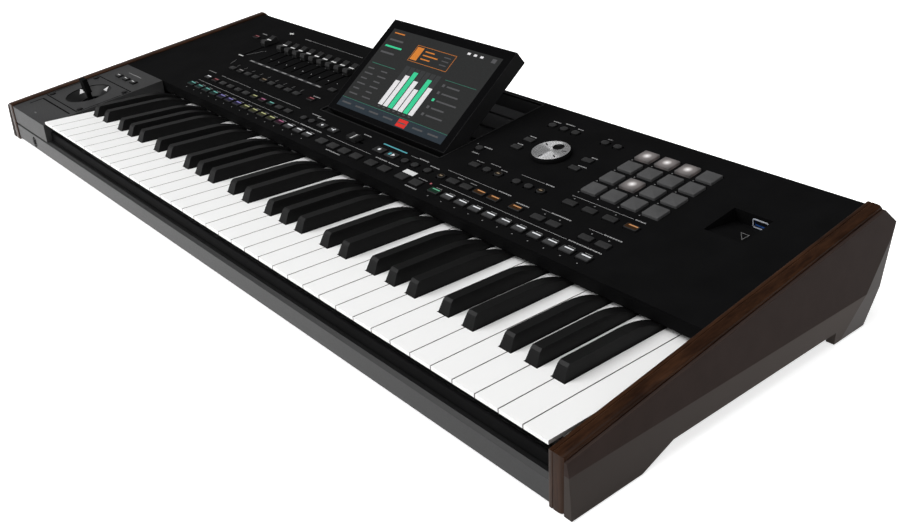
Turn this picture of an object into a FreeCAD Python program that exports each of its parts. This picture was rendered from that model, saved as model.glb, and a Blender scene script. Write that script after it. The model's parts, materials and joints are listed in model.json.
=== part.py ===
import FreeCAD, Part
import math
import os

import Sketcher
from FreeCAD import Placement, Rotation, Vector

# Arranger keyboard with 61 keys, a control panel, a tilting display and a joystick block.
# Frame: X to the player's right, Y to the back, Z up, origin under the middle on the floor.

# Driving dimensions in millimetres, grouped by the piece that carries them
SIZES = {
    # case
    "case_depth": 376.0,
    "block_width": 104.0,
    "key_end_gap": 2.0,
    "side_clearance": 0.3,
    "overrun": 2.0,
    # panel plane
    "panel_front": 150.5,
    "panel_run": 206.5,
    "panel_rise": 31.8,
    "panel_front_height": 66.9,
    "panel_sheet": 2.0,
    "fallboard_drop": 14.5,
    # cheeks, the rear places measured forward from the rear edge
    "trim_thickness": 14.0,
    "trim_proud": 2.0,
    "foot_lift": 1.0,
    "front_foot_end": 65.6,
    "arch_front": 97.0,
    "arch_height": 12.4,
    "rear_foot_front": 80.0,
    "rear_foot_end": 35.4,
    "rear_bulge_height": 83.0,
    "rear_top_depth": 18.0,
    "crease_height": 33.0,
    "side_drop": 3.0,
    "side_front_top": 2.6,
    "side_front_crease": 4.5,
    "side_front_foot": 7.0,
    "side_rear_top": 3.2,
    "side_rear_crease": 10.5,
    "side_rear_foot": 8.0,
    "rear_bevel_length": 18.0,
    # keys
    "key_pitch": 23.5,
    "key_gap": 1.0,
    "key_setback": 3.0,
    "key_top": 48.6,
    "key_bottom": 32.0,
    "key_lip": 3.2,
    "key_overhang": 22.0,
    "head_length": 50.0,
    "key_visible_length": 160.0,
    "tail_drop_run": 8.0,
    "tail_top": 42.6,
    "key_length": 232.0,
    "pivot_depth": 226.0,
    "pivot_height": 37.0,
    "pivot_radius": 3.0,
    "pivot_fit": 0.05,
    "black_front": 50.6,
    "black_width": 12.0,
    "black_top_width": 9.2,
    "black_top": 60.4,
    "black_nose": 4.5,
    "black_brow": 2.2,
    "black_flat_end": 115.0,
    "black_dip_end": 151.0,
    "black_dip": 51.8,
    # keybed
    "bed_sheet": 2.0,
    "bed_front": 33.0,
    "bed_table_end": 84.0,
    "bed_table_height": 20.0,
    "bed_rear": 240.0,
    "bed_rear_height": 44.0,
    "bed_end_plate": 1.2,
    "bed_end_clearance": 0.4,
    "bed_end_length": 40.0,
    "felt_width": 12.0,
    "white_felt_depth": 32.0,
    "black_felt_depth": 60.0,
    "felt_clearance": 0.4,
    "contact_board_front": 105.0,
    "contact_board_width": 46.0,
    "board_sheet": 1.6,
    "dome_depth": 120.0,
    "dome_width": 12.0,
    "dome_height": 8.6,
    "dome_side": 18.0,
    # bottom pan, rail and key slip, with pan_rear and foot_rear measured from the rear edge,
    # foot_x from the inner walls and jack_x from the middle of the block
    "pan_sheet": 2.0,
    "pan_underside": 12.0,
    "pan_front": 30.0,
    "pan_rear": 32.0,
    "rail_face": 1.0,
    "rail_underside": 3.5,
    "rail_top": 23.5,
    "rail_wall": 3.0,
    "rail_chamfer": 2.8,
    "rail_shelf": 24.0,
    "rail_foot": 49.0,
    "slip_face": 7.0,
    "slip_wall": 3.0,
    "slip_top": 35.0,
    "jack_x": 4.0,
    "jack_height": 11.6,
    "jack_bore": 3.2,
    "jack_nose": 4.6,
    "jack_fit": 0.1,
    "jack_length": 20.0,
    "jack_side": 13.0,
    "jack_body_height": 11.0,
    "foot_radius": 11.0,
    "foot_x": 47.0,
    "foot_front": 78.0,
    "foot_rear": 64.0,
    # controller block, its groove and switches measured across from its middle
    "block_wall": 3.0,
    "plate_front": 42.4,
    "plate_length": 68.0,
    "plate_margin": 3.0,
    "plate_sheet": 1.5,
    "plate_ledge": 5.0,
    "plate_fit": 0.25,
    "screw_inset": 5.5,
    "screw_head_radius": 3.0,
    "screw_head_height": 1.2,
    "screw_shank_radius": 1.5,
    "screw_shank_length": 6.0,
    "screw_fit": 0.2,
    "groove_width": 1.2,
    "groove_depth": 0.8,
    "groove_run": 34.0,
    "groove_start": -41.0,
    "groove_end": 45.0,
    "groove_leg": 16.0,
    # joystick
    "stick_depth": 76.0,
    "dish_radius": 28.0,
    "dish_floor_radius": 12.5,
    "dish_hole_radius": 10.5,
    "dish_drop": 9.0,
    "dish_sheet": 1.5,
    "stick_pivot_drop": 25.0,
    "stick_pin_radius": 2.0,
    "stick_pin_fit": 0.06,
    "stick_stem": 5.0,
    "stick_hub": 9.0,
    "stick_hub_width": 12.0,
    "stick_rise": 19.0,
    "stick_paddle_width": 14.0,
    "stick_paddle_top_width": 11.0,
    "stick_paddle_depth": 6.0,
    "stick_paddle_start": 2.0,
    "yoke_inner": 13.0,
    "yoke_outer": 22.0,
    "yoke_height": 6.0,
    "yoke_gap": 0.6,
    "bracket_wall": 3.0,
    "bracket_width": 9.0,
    "bracket_post_rise": 5.0,
    "bracket_floor_drop": 8.0,
    "bracket_leg_gap": 3.0,
    "bracket_room": 4.85,
    # display
    "well_half_width": 105.5,
    "well_front": 62.6,
    "well_rear": 203.5,
    "well_wall": 2.0,
    "well_depth": 18.0,
    "rib_pitch": 27.0,
    "rib_width": 16.0,
    "rib_height": 2.0,
    "display_gap": 2.5,
    "display_height": 128.0,
    "display_thickness": 16.0,
    "display_wall": 2.0,
    "display_below_axis": 2.6,
    "display_face": 10.1,
    "display_axis_run": 77.3,
    "display_axis_drop": 6.25,
    "display_pin_radius": 2.0,
    "display_pin_fit": 0.05,
    "glass_sheet": 1.5,
    "glass_margin": 0.4,
    "screen_module": 4.0,
    "screen_margin": 6.0,
    # buttons
    "button_fit": 0.4,
    "button_proud": 2.0,
    "button_skirt": 6.4,
    "button_width": 14.0,
    "button_depth": 8.0,
    "small_width": 12.0,
    "small_depth": 6.4,
    "round_width": 9.0,
    "round_depth": 7.0,
    "wide_width": 16.0,
    "wide_depth": 9.0,
    "front_row": 16.0,
    "second_row": 38.0,
    "third_row": 71.5,
    "fader_button_row": 101.0,
    "red_button_row": 150.0,
    "upper_row": 173.0,
    "well_side_row": 97.7,
    "dial_low_row": 119.5,
    "dial_high_row": 137.0,
    "switch_row": -25.5,
    "row_pitch": 18.8,
    "set_pitch": 19.0,
    "memory_pitch": 20.7,
    "pair_pitch": 22.0,
    "oval_pitch": 16.0,
    "bank_pitch": 23.7,
    "dial_pair_pitch": 79.0,
    "switch_pitch": 21.3,
    "style_first": -323.0,
    "track_first": -322.8,
    "memory_first": -32.0,
    "entry_first": 56.0,
    "tempo_first": 106.0,
    "set_first": 156.0,
    "mixer_first": -321.0,
    "mixer_end": -140.0,
    "red_first": -398.0,
    "ovals_first": -102.0,
    "lit_pair_first": -64.5,
    "lit_pair_pitch": 21.0,
    "transport_first": 40.0,
    "right_ovals_first": 82.0,
    "exit_ovals_first": 118.0,
    "tone_first": 156.0,
    "split_first": 242.0,
    "ensemble_first": 270.0,
    "octave_first": 327.0,
    "harmony_first": 148.0,
    "page_first": 166.0,
    "menu_first": 207.0,
    "bank_first": 275.6,
    "well_side_first": 125.0,
    "dial_left_first": 155.0,
    "upper_left_first": 151.0,
    "upper_right_first": 223.0,
    "switch_first": -20.0,
    # pads
    "pad_first": 276.4,
    "pad_row_first": 101.0,
    "pad_pitch": 23.7,
    "pad_gap": 6.1,
    "pad_row_gap": 6.7,
    "pad_proud": 2.4,
    # dial
    "dial_x": 195.0,
    "dial_run": 128.0,
    "dial_radius": 19.0,
    "dial_height": 5.0,
    "dial_skirt_radius": 19.8,
    "dial_skirt_height": 3.8,
    "dial_lift": 0.6,
    "dimple_radius": 9.0,
    "dimple_offset": 9.5,
    "dimple_depth": 2.2,
    "dial_shaft_radius": 3.0,
    "dial_fit": 0.05,
    # faders
    "fader_first": -315.0,
    "fader_pitch": 18.9,
    "master_x": -355.0,
    "fader_slot_start": 106.0,
    "fader_slot_end": 159.0,
    "fader_slot_fit": 0.5,
    "fader_rest": 145.5,
    "fader_cap_width": 10.0,
    "fader_cap_length": 21.0,
    "fader_cap_height": 8.0,
    "fader_shoulder": 4.2,
    "fader_ridge_inset": 1.8,
    "fader_valley": 2.6,
    "fader_cap_lift": 0.8,
    "fader_stem_width": 2.0,
    "fader_stem_length": 4.4,
    "fader_stem_gap": 2.1,
    "balance_x": -4.0,
    "balance_slot": 30.0,
    "balance_cap": 16.0,
    # storage socket bay
    "bay_left": 395.0,
    "bay_width": 38.0,
    "bay_front": 104.0,
    "bay_length": 41.0,
    "bay_drop": 13.0,
    "bay_wall": 2.0,
    "port_width": 14.6,
    "port_height": 7.2,
    "port_depth": 15.0,
    "port_wall": 0.6,
    "port_shift": 7.0,
    "port_floor": 1.2,
    # boards under the panel
    "board_gap": 3.5,
    "board_margin": 8.0,
    "left_board_start": -440.0,
    "right_board_end": 372.0,
    "board_post": 6.0,
    "board_post_front": 24.0,
    "board_well_gap": 6.0,
    # rear panel and what it holds
    "rear_inset": 1.5,
    "rear_sheet": 2.0,
    "rear_flange": 18.0,
    "rear_lip": 2.8,
    "rear_fit": 0.1,
    "socket_run": 40.0,
    "socket_depth": 16.0,
    "socket_side": 15.0,
    "socket_proud": 1.6,
    "socket_bore": 3.25,
    "din_radius": 8.6,
    "din_bore": 6.6,
    "inlet_width": 22.0,
    "inlet_height": 13.0,
    "inlet_wall": 2.0,
    "rocker_width": 10.0,
    "rocker_height": 14.0,
    "rocker_thickness": 6.0,
    "rocker_pivot": 4.0,
    "rocker_fit": 1.6,
    "rocker_proud": 1.6,
    "rocker_fold": 2.4,
    "rocker_pin_radius": 1.2,
    "rocker_pin_fit": 0.05,
    "jack_spacing": 34.0,
    "jack_row_start": -330.0,
    "din_spacing": 36.0,
    "din_row_start": 60.0,
    "inlet_x": 380.0,
    "rocker_x": 420.0,
    # main board and supply, behind the keybed
    "main_board_x": -120.0,
    "main_board_width": 260.0,
    "main_board_front": 12.0,
    "board_post_height": 4.0,
    "supply_x": 280.0,
    "supply_width": 100.0,
    "supply_front": 16.0,
    "supply_gap": 4.0,
    "supply_height": 26.0,
}

# Counts and shares that no scale changes
WHITE_COUNT = 36
OCTAVE_WHITES = 7
FADER_COUNT = 9
PAD_ROWS = 4
RIB_COUNT = 4
JACK_COUNT = 4
DIN_COUNT = 2
CHIP_COUNT = 3
STYLE_COUNT = 15
TRACK_COUNT = 11
SET_COUNT = 11
QUAD_COUNT = 4
TRIPLE_COUNT = 3
PAIR_COUNT = 2
SINGLE_COUNT = 1
KEY_PRESS_SHARE = math.tan(math.radians(2.6))
DISPLAY_TILT = 30.2
HALF_SHARE = 0.5
DIAGONAL_SHARE = math.sqrt(HALF_SHARE)
WHITE_NAMES = ("c", "d", "e", "f", "g", "a", "b")
BLACK_NAMES = {
    1: ("c_sharp", -0.10),
    2: ("d_sharp", 0.10),
    4: ("f_sharp", -0.14),
    5: ("g_sharp", 0.0),
    6: ("a_sharp", 0.14),
}

doc = FreeCAD.newDocument("arranger_keyboard")
sheet = doc.addObject("Spreadsheet::Sheet", "Sizes")
nodes = []
BOARDS = []


class Size:
    """A length that keeps both its number and the spreadsheet expression behind it."""

    def __init__(self, value, text):
        self.value = value
        self.text = text

    def __add__(self, other):
        other = as_size(other)
        return Size(self.value + other.value, "(%s + %s)" % (self.text, other.text))

    def __radd__(self, other):
        return as_size(other) + self

    def __sub__(self, other):
        other = as_size(other)
        return Size(self.value - other.value, "(%s - %s)" % (self.text, other.text))

    def __rsub__(self, other):
        return as_size(other) - self

    def __mul__(self, other):
        other = as_size(other)
        return Size(self.value * other.value, "(%s * %s)" % (self.text, other.text))

    def __rmul__(self, other):
        return as_size(other) * self

    def __truediv__(self, other):
        other = as_size(other)
        return Size(self.value / other.value, "(%s / %s)" % (self.text, other.text))

    def __neg__(self):
        return Size(-self.value, "(-1 * %s)" % self.text)


def as_size(number):
    if isinstance(number, Size):
        return number
    return Size(float(number), "(%.9f)" % number)


class Dimensions:
    """The named sizes as attributes, each bound to its spreadsheet cell."""


d = Dimensions()
for row, (alias, number) in enumerate(SIZES.items(), 1):
    sheet.set("A%d" % row, alias)
    sheet.set("B%d" % row, str(number))
    sheet.setAlias("B%d" % row, alias)
    setattr(d, alias, Size(number, "Sizes." + alias))
doc.recompute()

zero = Size(0.0, "0")
front = -(d.case_depth / 2)
inner_width = d.block_width + d.key_end_gap * 2 + d.key_pitch * WHITE_COUNT
inner_half = inner_width / 2
keys_left = d.block_width + d.key_end_gap - inner_half
octave = d.key_pitch * OCTAVE_WHITES
panel_slope = d.panel_rise / d.panel_run
panel_length = Size(
    math.hypot(d.panel_run.value, d.panel_rise.value),
    "sqrt(%s * %s + %s * %s)" % (d.panel_run.text, d.panel_run.text, d.panel_rise.text, d.panel_rise.text),
)
panel_tilt = Size(
    math.degrees(math.atan2(d.panel_rise.value, d.panel_run.value)),
    "atan(%s / %s)" % (d.panel_rise.text, d.panel_run.text),
)
block_middle = d.block_width / 2 - inner_half
jack_across = block_middle + d.jack_x
switch_start = block_middle + d.switch_first
pan_end = d.case_depth - d.pan_rear
foot_end = d.case_depth - d.rear_foot_end
rear_rise = d.rear_bulge_height - d.foot_lift
rear_run = d.rear_foot_end
rear_lean = Size(
    math.degrees(math.atan2(rear_run.value, rear_rise.value)),
    "atan(%s / %s)" % (rear_run.text, rear_rise.text),
)
panel_rear = d.panel_front + d.panel_run
pan_top = d.pan_underside + d.pan_sheet
board_drop = d.button_skirt + d.board_gap
fader_slot_width = d.fader_stem_width + d.fader_slot_fit * 2
fader_stem_drop = board_drop - d.fader_stem_gap
display_half = d.well_half_width - d.display_gap
bracket_leg = d.dish_radius + d.bracket_leg_gap


def plane_height(depth):
    """Height of the panel plane at a depth behind the case front."""
    return d.panel_front_height + (depth - d.panel_front) * panel_slope


def panel_underside(depth):
    """Height of the panel sheet's lower face at a depth behind the case front."""
    return plane_height(depth) - d.panel_sheet * panel_length / d.panel_run


def panel_place(depth):
    """Distance up the panel plane, from its front edge, of a depth behind the case front."""
    return (depth - d.panel_front) * panel_length / d.panel_run


# Helpers that make and bind document objects


def bind(thing, name, size):
    thing.setExpression(name, as_size(size).text)


def place(thing, x=zero, y=zero, z=zero):
    for name, size in (("x", x), ("y", y), ("z", z)):
        bind(thing, "Placement.Base." + name, size)


def turn(thing, axis, angle):
    thing.Placement = Placement(Vector(0, 0, 0), Rotation(axis, as_size(angle).value))
    bind(thing, "Placement.Rotation.Angle", angle)


def box(name, spans):
    """A box from three (start, length) pairs along X, Y and Z."""
    solid = doc.addObject("Part::Box", name)
    for side, (start, length) in zip(("Length", "Width", "Height"), spans):
        bind(solid, side, length)
    place(solid, *[start for start, length in spans])
    return solid


def cylinder(name, radius, length, x, y, z, axis=None):
    """A cylinder from a point along +Z, or along +X or +Y where an axis is named."""
    solid = doc.addObject("Part::Cylinder", name)
    bind(solid, "Radius", radius)
    bind(solid, "Height", length)
    if axis == "x":
        turn(solid, Vector(0, 1, 0), 90)
    if axis == "y":
        turn(solid, Vector(1, 0, 0), -90)
    place(solid, x, y, z)
    return solid


def gather(name, parts):
    group = doc.addObject("Part::Compound", name)
    group.Links = parts
    return group


def fuse(name, parts):
    joined = doc.addObject("Part::MultiFuse", name)
    joined.Shapes = parts
    return joined


def cut(name, base, tools):
    carved = doc.addObject("Part::Cut", name)
    carved.Base = base
    carved.Tool = tools[0] if len(tools) == 1 else gather(name + "_tools", tools)
    return carved


def lay_on_panel(thing):
    """Puts an object made in panel coordinates (across, up the slope, out) onto the panel."""
    turn(thing, Vector(1, 0, 0), panel_tilt)
    place(thing, zero, front + d.panel_front, d.panel_front_height)
    return thing


def node(thing, label):
    thing.Label = label
    nodes.append(thing)
    return thing


def new_body(name):
    body = doc.addObject("PartDesign::Body", name)
    body.AllowCompound = True
    return body


def origin_feature(body, role):
    return [feature for feature in body.Origin.OriginFeatures if feature.Role == role][0]


def new_sketch(body, role, offset=zero):
    sketch = body.newObject("Sketcher::SketchObject", body.Name + "_sketch")
    sketch.AttachmentSupport = [(origin_feature(body, role), "")]
    sketch.MapMode = "FlatFace"
    bind(sketch, "AttachmentOffset.Base.z", offset)
    return sketch


def fix(sketch, kind, geometry, point, size):
    index = sketch.addConstraint(Sketcher.Constraint(kind, geometry, point, size.value))
    bind(sketch, "Constraints[%d]" % index, size)


def pin(sketch, geometry, point, across, up):
    fix(sketch, "DistanceX", geometry, point, as_size(across))
    fix(sketch, "DistanceY", geometry, point, as_size(up))


def flat(across, up):
    return Vector(as_size(across).value, as_size(up).value, 0)


def polygon(sketch, points):
    count = len(points)
    for index, start in enumerate(points):
        sketch.addGeometry(Part.LineSegment(flat(*start), flat(*points[(index + 1) % count])))
    for index, start in enumerate(points):
        sketch.addConstraint(Sketcher.Constraint("Coincident", index, 2, (index + 1) % count, 1))
        pin(sketch, index, 1, *start)
    return sketch


def circle(sketch, across, up, radius):
    index = sketch.addGeometry(Part.Circle(flat(across, up), Vector(0, 0, 1), radius.value))
    pin(sketch, index, 3, across, up)
    bind(sketch, "Constraints[%d]" % sketch.addConstraint(
        Sketcher.Constraint("Radius", index, radius.value)), radius)
    return sketch


def pad(body, sketch, length, reverse=False):
    feature = body.newObject("PartDesign::Pad", body.Name + "_pad")
    feature.Profile = sketch
    feature.Reversed = reverse
    bind(feature, "Length", length)
    body.Tip = feature
    return feature


def pocket_through(body, sketch, reverse=False):
    doc.recompute()
    before = body.Shape.Volume
    feature = body.newObject("PartDesign::Pocket", body.Name + "_pocket")
    feature.Profile = sketch
    feature.Type = "ThroughAll"
    feature.Reversed = reverse
    body.Tip = feature
    doc.recompute()
    if not body.Shape.Volume < before:
        raise RuntimeError("a pocket cut nothing from " + body.Name)
    return feature


def row_of(body, features, step, count):
    feature = body.newObject("PartDesign::LinearPattern", body.Name + "_row")
    feature.Originals = features
    feature.Direction = (origin_feature(body, "X_Axis"), [""])
    bind(feature, "Length", step * (count - 1))
    feature.Occurrences = count
    body.Tip = feature
    return feature


def side_body(name, points, start, length):
    """A body padded along X from a side outline of (depth, height) points."""
    body = new_body(name)
    pad(body, polygon(new_sketch(body, "YZ_Plane"), points), length)
    place(body, start, front)
    return body


# Cheeks: wooden boards with faceted side panels outside them


def cheek_outline(drop):
    top_end = d.case_depth - d.rear_top_depth
    foot_start = d.case_depth - d.rear_foot_front
    return [
        (zero, d.foot_lift),
        (zero, plane_height(zero) + d.trim_proud - drop),
        (top_end, plane_height(top_end) + d.trim_proud - drop),
        (d.case_depth, d.rear_bulge_height),
        (foot_end, d.foot_lift),
        (foot_start, d.foot_lift),
        (foot_start, d.arch_height),
        (d.arch_front, d.arch_height),
        (d.front_foot_end, d.foot_lift),
    ]


def make_wood_trims():
    outline = cheek_outline(zero)
    node(side_body("left_board", outline, -inner_half - d.trim_thickness, d.trim_thickness), "left_wood_trim")
    node(side_body("right_board", outline, inner_half, d.trim_thickness), "right_wood_trim")


def rear_bevel():
    """A box whose underside is the bevel plane on the rear corner of the right side panel."""
    edge = inner_half.value + d.trim_thickness.value
    crease = Vector(edge + d.side_rear_crease.value,
                    front.value + foot_end.value - d.rear_bevel_length.value, d.crease_height.value)
    foot = Vector(edge + d.side_front_foot.value, front.value + foot_end.value, d.foot_lift.value)
    bulge = Vector(edge + d.side_rear_top.value + d.trim_proud.value, front.value + d.case_depth.value,
                   d.rear_bulge_height.value)
    along = (bulge - foot).normalize()
    out = (crease - foot).cross(along).normalize()
    if out.x < 0:
        out = -out
    across = along.cross(out)
    solid = doc.addObject("Part::Box", "rear_bevel")
    for side in ("Length", "Width", "Height"):
        bind(solid, side, d.case_depth)
    middle = along * (d.case_depth.value / 2) + across * (d.case_depth.value / 2)
    solid.Placement = Placement(foot - middle, Rotation(along, across, out))
    return solid


def make_side_panels():
    top = d.trim_proud - d.side_drop
    loft = new_body("side_loft")
    sections = []
    for depth, foot, crease, lip in (
        (zero, d.side_front_foot, d.side_front_crease, d.side_front_top),
        (d.case_depth, d.side_rear_foot, d.side_rear_crease, d.side_rear_top),
    ):
        sketch = new_sketch(loft, "XZ_Plane", -depth)
        head = plane_height(depth) + top
        sections.append(polygon(sketch, [
            (zero, d.foot_lift), (foot, d.foot_lift), (crease, d.crease_height), (lip, head), (zero, head)]))
    feature = loft.newObject("PartDesign::AdditiveLoft", "side_facets")
    feature.Profile = sections[0]
    feature.Sections = sections[1:]
    feature.Ruled = True
    loft.Tip = feature
    place(loft, inner_half + d.trim_thickness, front)
    outline = side_body("side_outline", cheek_outline(d.side_drop), inner_half + d.trim_thickness,
                        d.trim_thickness)
    shaped = doc.addObject("Part::Common", "side_shaped")
    shaped.Base = loft
    shaped.Tool = outline
    right = node(cut("side_right", shaped, [rear_bevel()]), "right_side_panel")
    left = doc.addObject("Part::Mirroring", "side_left")
    left.Source = right
    left.Normal = Vector(1, 0, 0)
    node(left, "left_side_panel")


# Keys, their pivot rod and the bed under them


def black_centre(boundary):
    return d.key_pitch * (boundary + BLACK_NAMES[boundary][1])


def tail_edge(boundary, side):
    """Edge of a white key's tail at a slot boundary; side is 1 on its left and -1 on its right."""
    if boundary in BLACK_NAMES:
        return black_centre(boundary) + (d.black_width / 2 + d.key_gap) * side
    return d.key_pitch * boundary + d.key_gap / 2 * side


def place_keys(body):
    place(body, keys_left, front + d.key_setback)


def bore_keys(body):
    sketch = new_sketch(body, "YZ_Plane")
    circle(sketch, d.pivot_depth, d.pivot_height, d.pivot_radius + d.pivot_fit)
    pocket_through(body, sketch, reverse=True)


def white_head():
    under = d.key_top - d.key_lip
    return [
        (zero, d.key_top),
        (d.head_length, d.key_top),
        (d.head_length, d.key_bottom),
        (d.key_overhang + d.key_lip, d.key_bottom),
        (d.key_overhang, under),
        (zero, under),
    ]


def white_tail():
    return [
        (d.head_length - d.key_gap, d.key_top),
        (d.key_visible_length, d.key_top),
        (d.key_visible_length + d.tail_drop_run, d.tail_top),
        (d.key_length, d.tail_top),
        (d.key_length, d.key_bottom),
        (d.head_length - d.key_gap, d.key_bottom),
    ]


def make_white_keys():
    for index, name in enumerate(WHITE_NAMES):
        count = WHITE_COUNT // OCTAVE_WHITES + (1 if index < WHITE_COUNT % OCTAVE_WHITES else 0)
        body = new_body("white_" + name)
        head_start = d.key_pitch * index + d.key_gap / 2
        width = d.key_pitch - d.key_gap
        head = pad(body, polygon(new_sketch(body, "YZ_Plane", head_start), white_head()), width)
        left = tail_edge(index, 1)
        right = tail_edge(index + 1, -1)
        tail = pad(body, polygon(new_sketch(body, "YZ_Plane", left), white_tail()), right - left)
        row_of(body, [head, tail], octave, count)
        if index == 0:
            # the top C has no black key beside it, so its tail is as wide as its head
            start = octave * (count - 1) + left
            pad(body, polygon(new_sketch(body, "YZ_Plane", start), white_tail()), width)
        bore_keys(body)
        place_keys(body)
        node(body, "white_keys_" + name)


def black_waste(sketch):
    """The stock above a black key's top, with an arc where the top dips towards the fallboard."""
    clear = d.black_top + d.overrun
    end = d.key_length + d.overrun
    drop = d.black_top - d.black_dip
    run = d.black_dip_end - d.black_flat_end
    radius = (run * run + drop * drop) / (drop * 2)
    points = [
        (d.black_dip_end, d.black_dip),
        (d.key_visible_length + d.tail_drop_run, d.tail_top),
        (end, d.tail_top),
        (end, clear),
        (d.black_front - d.overrun, clear),
        (d.black_front - d.overrun, d.key_top),
        (d.black_front, d.key_top),
        (d.black_front + d.black_nose, d.black_top - d.black_brow),
        (d.black_front + d.black_nose + d.black_brow, d.black_top),
        (d.black_flat_end, d.black_top),
    ]
    for index, start in enumerate(points[:-1]):
        sketch.addGeometry(Part.LineSegment(flat(*start), flat(*points[index + 1])))
        pin(sketch, index, 1, *start)
    last = len(points) - 1
    pin(sketch, last - 1, 2, *points[last])
    centre = flat(d.black_flat_end, d.black_top - radius)
    sweep = math.asin(run.value / radius.value)
    ring = Part.Circle(centre, Vector(0, 0, 1), radius.value)
    sketch.addGeometry(Part.ArcOfCircle(ring, math.pi / 2 - sweep, math.pi / 2))
    for index in range(last - 1):
        sketch.addConstraint(Sketcher.Constraint("Coincident", index, 2, index + 1, 1))
    sketch.addConstraint(Sketcher.Constraint("Coincident", last - 1, 2, last, 2))
    sketch.addConstraint(Sketcher.Constraint("Coincident", last, 1, 0, 1))
    bind(sketch, "Constraints[%d]" % sketch.addConstraint(
        Sketcher.Constraint("Radius", last, radius.value)), radius)
    return sketch


def make_black_keys():
    for boundary, (name, shift) in BLACK_NAMES.items():
        body = new_body("black_" + name)
        middle = black_centre(boundary)
        foot = d.black_width / 2
        brow = d.black_top_width / 2
        sketch = polygon(new_sketch(body, "XZ_Plane", -d.black_front), [
            (middle - foot, d.key_bottom), (middle + foot, d.key_bottom), (middle + foot, d.key_top),
            (middle + brow, d.black_top), (middle - brow, d.black_top), (middle - foot, d.key_top)])
        stick = pad(body, sketch, d.key_length - d.black_front, reverse=True)
        row_of(body, [stick], octave, WHITE_COUNT // OCTAVE_WHITES)
        pocket_through(body, black_waste(new_sketch(body, "YZ_Plane")), reverse=True)
        bore_keys(body)
        place_keys(body)
        node(body, "black_keys_" + name)


def make_keybed():
    keys_width = d.key_pitch * WHITE_COUNT
    floor = pan_top + d.bed_sheet
    wall = d.bed_rear - d.bed_sheet
    left_end = keys_left - d.key_end_gap + d.bed_end_clearance
    bed_width = keys_width + (d.key_end_gap - d.bed_end_clearance) * 2
    right_end = left_end + bed_width - d.bed_end_plate
    bed = side_body("bed_channel", [
        (d.bed_front, pan_top),
        (d.bed_front, d.bed_table_height),
        (d.bed_table_end, d.bed_table_height),
        (d.bed_table_end + d.bed_sheet, floor),
        (wall, floor),
        (wall, d.bed_rear_height),
        (d.bed_rear, d.bed_rear_height),
        (d.bed_rear, pan_top),
    ], left_end, bed_width)
    parts = [bed]
    axle_depth = front + d.key_setback + d.pivot_depth
    for index, start in enumerate((left_end, right_end)):
        parts.append(box("bed_end_%d" % index, (
            (start, d.bed_end_plate),
            (front + d.bed_rear - d.bed_end_length, d.bed_end_length),
            (pan_top, d.bed_rear_height - pan_top))))
    bore = cylinder("bed_bore", d.pivot_radius + d.pivot_fit, inner_width, -inner_half, axle_depth,
                    d.pivot_height, "x")
    node(cut("bed", fuse("bed_fused", parts), [bore]), "keybed_frame")
    rod = cylinder("rod", d.pivot_radius, bed_width, left_end, axle_depth, d.pivot_height, "x")
    node(rod, "key_pivot_rod")
    felts = []
    for name, depth in (("white_felt", d.white_felt_depth), ("black_felt", d.black_felt_depth)):
        pressed = d.key_bottom - (d.pivot_depth - depth) * KEY_PRESS_SHARE - d.felt_clearance
        felts.append(box(name, (
            (keys_left, keys_width),
            (front + d.key_setback + depth, d.felt_width),
            (d.bed_table_height, pressed - d.bed_table_height))))
    node(gather("felts", felts), "key_stop_felts")
    board_top = floor + d.board_sheet
    BOARDS.append(box("contacts", (
        (keys_left + d.key_gap, keys_width - d.key_gap * 2),
        (front + d.key_setback + d.contact_board_front, d.contact_board_width),
        (floor, d.board_sheet))))
    domes = []
    for index in range(WHITE_COUNT):
        middle = keys_left + d.key_pitch * (index + HALF_SHARE)
        domes.append(box("dome_%d" % index, (
            (middle - d.dome_side / 2, d.dome_side),
            (front + d.key_setback + d.dome_depth, d.dome_width),
            (board_top, d.dome_height))))
    node(gather("domes", domes), "key_contact_domes")


# Floor pan, front rail, key slip and feet


def make_base():
    node(box("pan", (
        (d.side_clearance - inner_half, inner_width - d.side_clearance * 2),
        (front + d.pan_front, pan_end - d.pan_front),
        (d.pan_underside, d.pan_sheet))), "bottom_pan")
    shelf = d.rail_top - d.rail_wall
    floor = d.rail_underside + d.rail_wall
    back = d.rail_face + d.rail_wall
    rail = side_body("rail", [
        (d.rail_face, d.rail_underside),
        (d.rail_face, d.rail_top - d.rail_chamfer),
        (d.rail_face + d.rail_chamfer, d.rail_top),
        (d.rail_shelf, d.rail_top),
        (d.rail_shelf, shelf),
        (back, shelf),
        (back, floor),
        (d.rail_foot - d.rail_wall, floor),
        (d.rail_foot - d.rail_wall, d.pan_underside),
        (d.rail_foot, d.pan_underside),
        (d.rail_foot, d.rail_underside),
    ], d.side_clearance - inner_half, inner_width - d.side_clearance * 2)
    hole = cylinder("rail_jack_hole", d.jack_nose + d.jack_fit, back + d.overrun * 2, jack_across,
                    front - d.overrun, d.jack_height, "y")
    node(cut("rail_cut", rail, [hole]), "front_rail")
    node(box("slip", (
        (keys_left - d.key_end_gap + d.bed_end_clearance, d.key_pitch * WHITE_COUNT + d.key_end_gap),
        (front + d.slip_face, d.slip_wall),
        (d.rail_top, d.slip_top - d.rail_top))), "key_slip")
    feet = []
    for name, depth in (("front", d.foot_front), ("rear", d.case_depth - d.foot_rear)):
        for side, across in (("left", d.foot_x - inner_half), ("right", inner_half - d.foot_x)):
            feet.append(cylinder("%s_%s_foot" % (name, side), d.foot_radius, d.pan_underside, across,
                                 front + depth, zero))
    node(gather("feet", feet), "rubber_feet")


# Left controller block with the joystick


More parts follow.
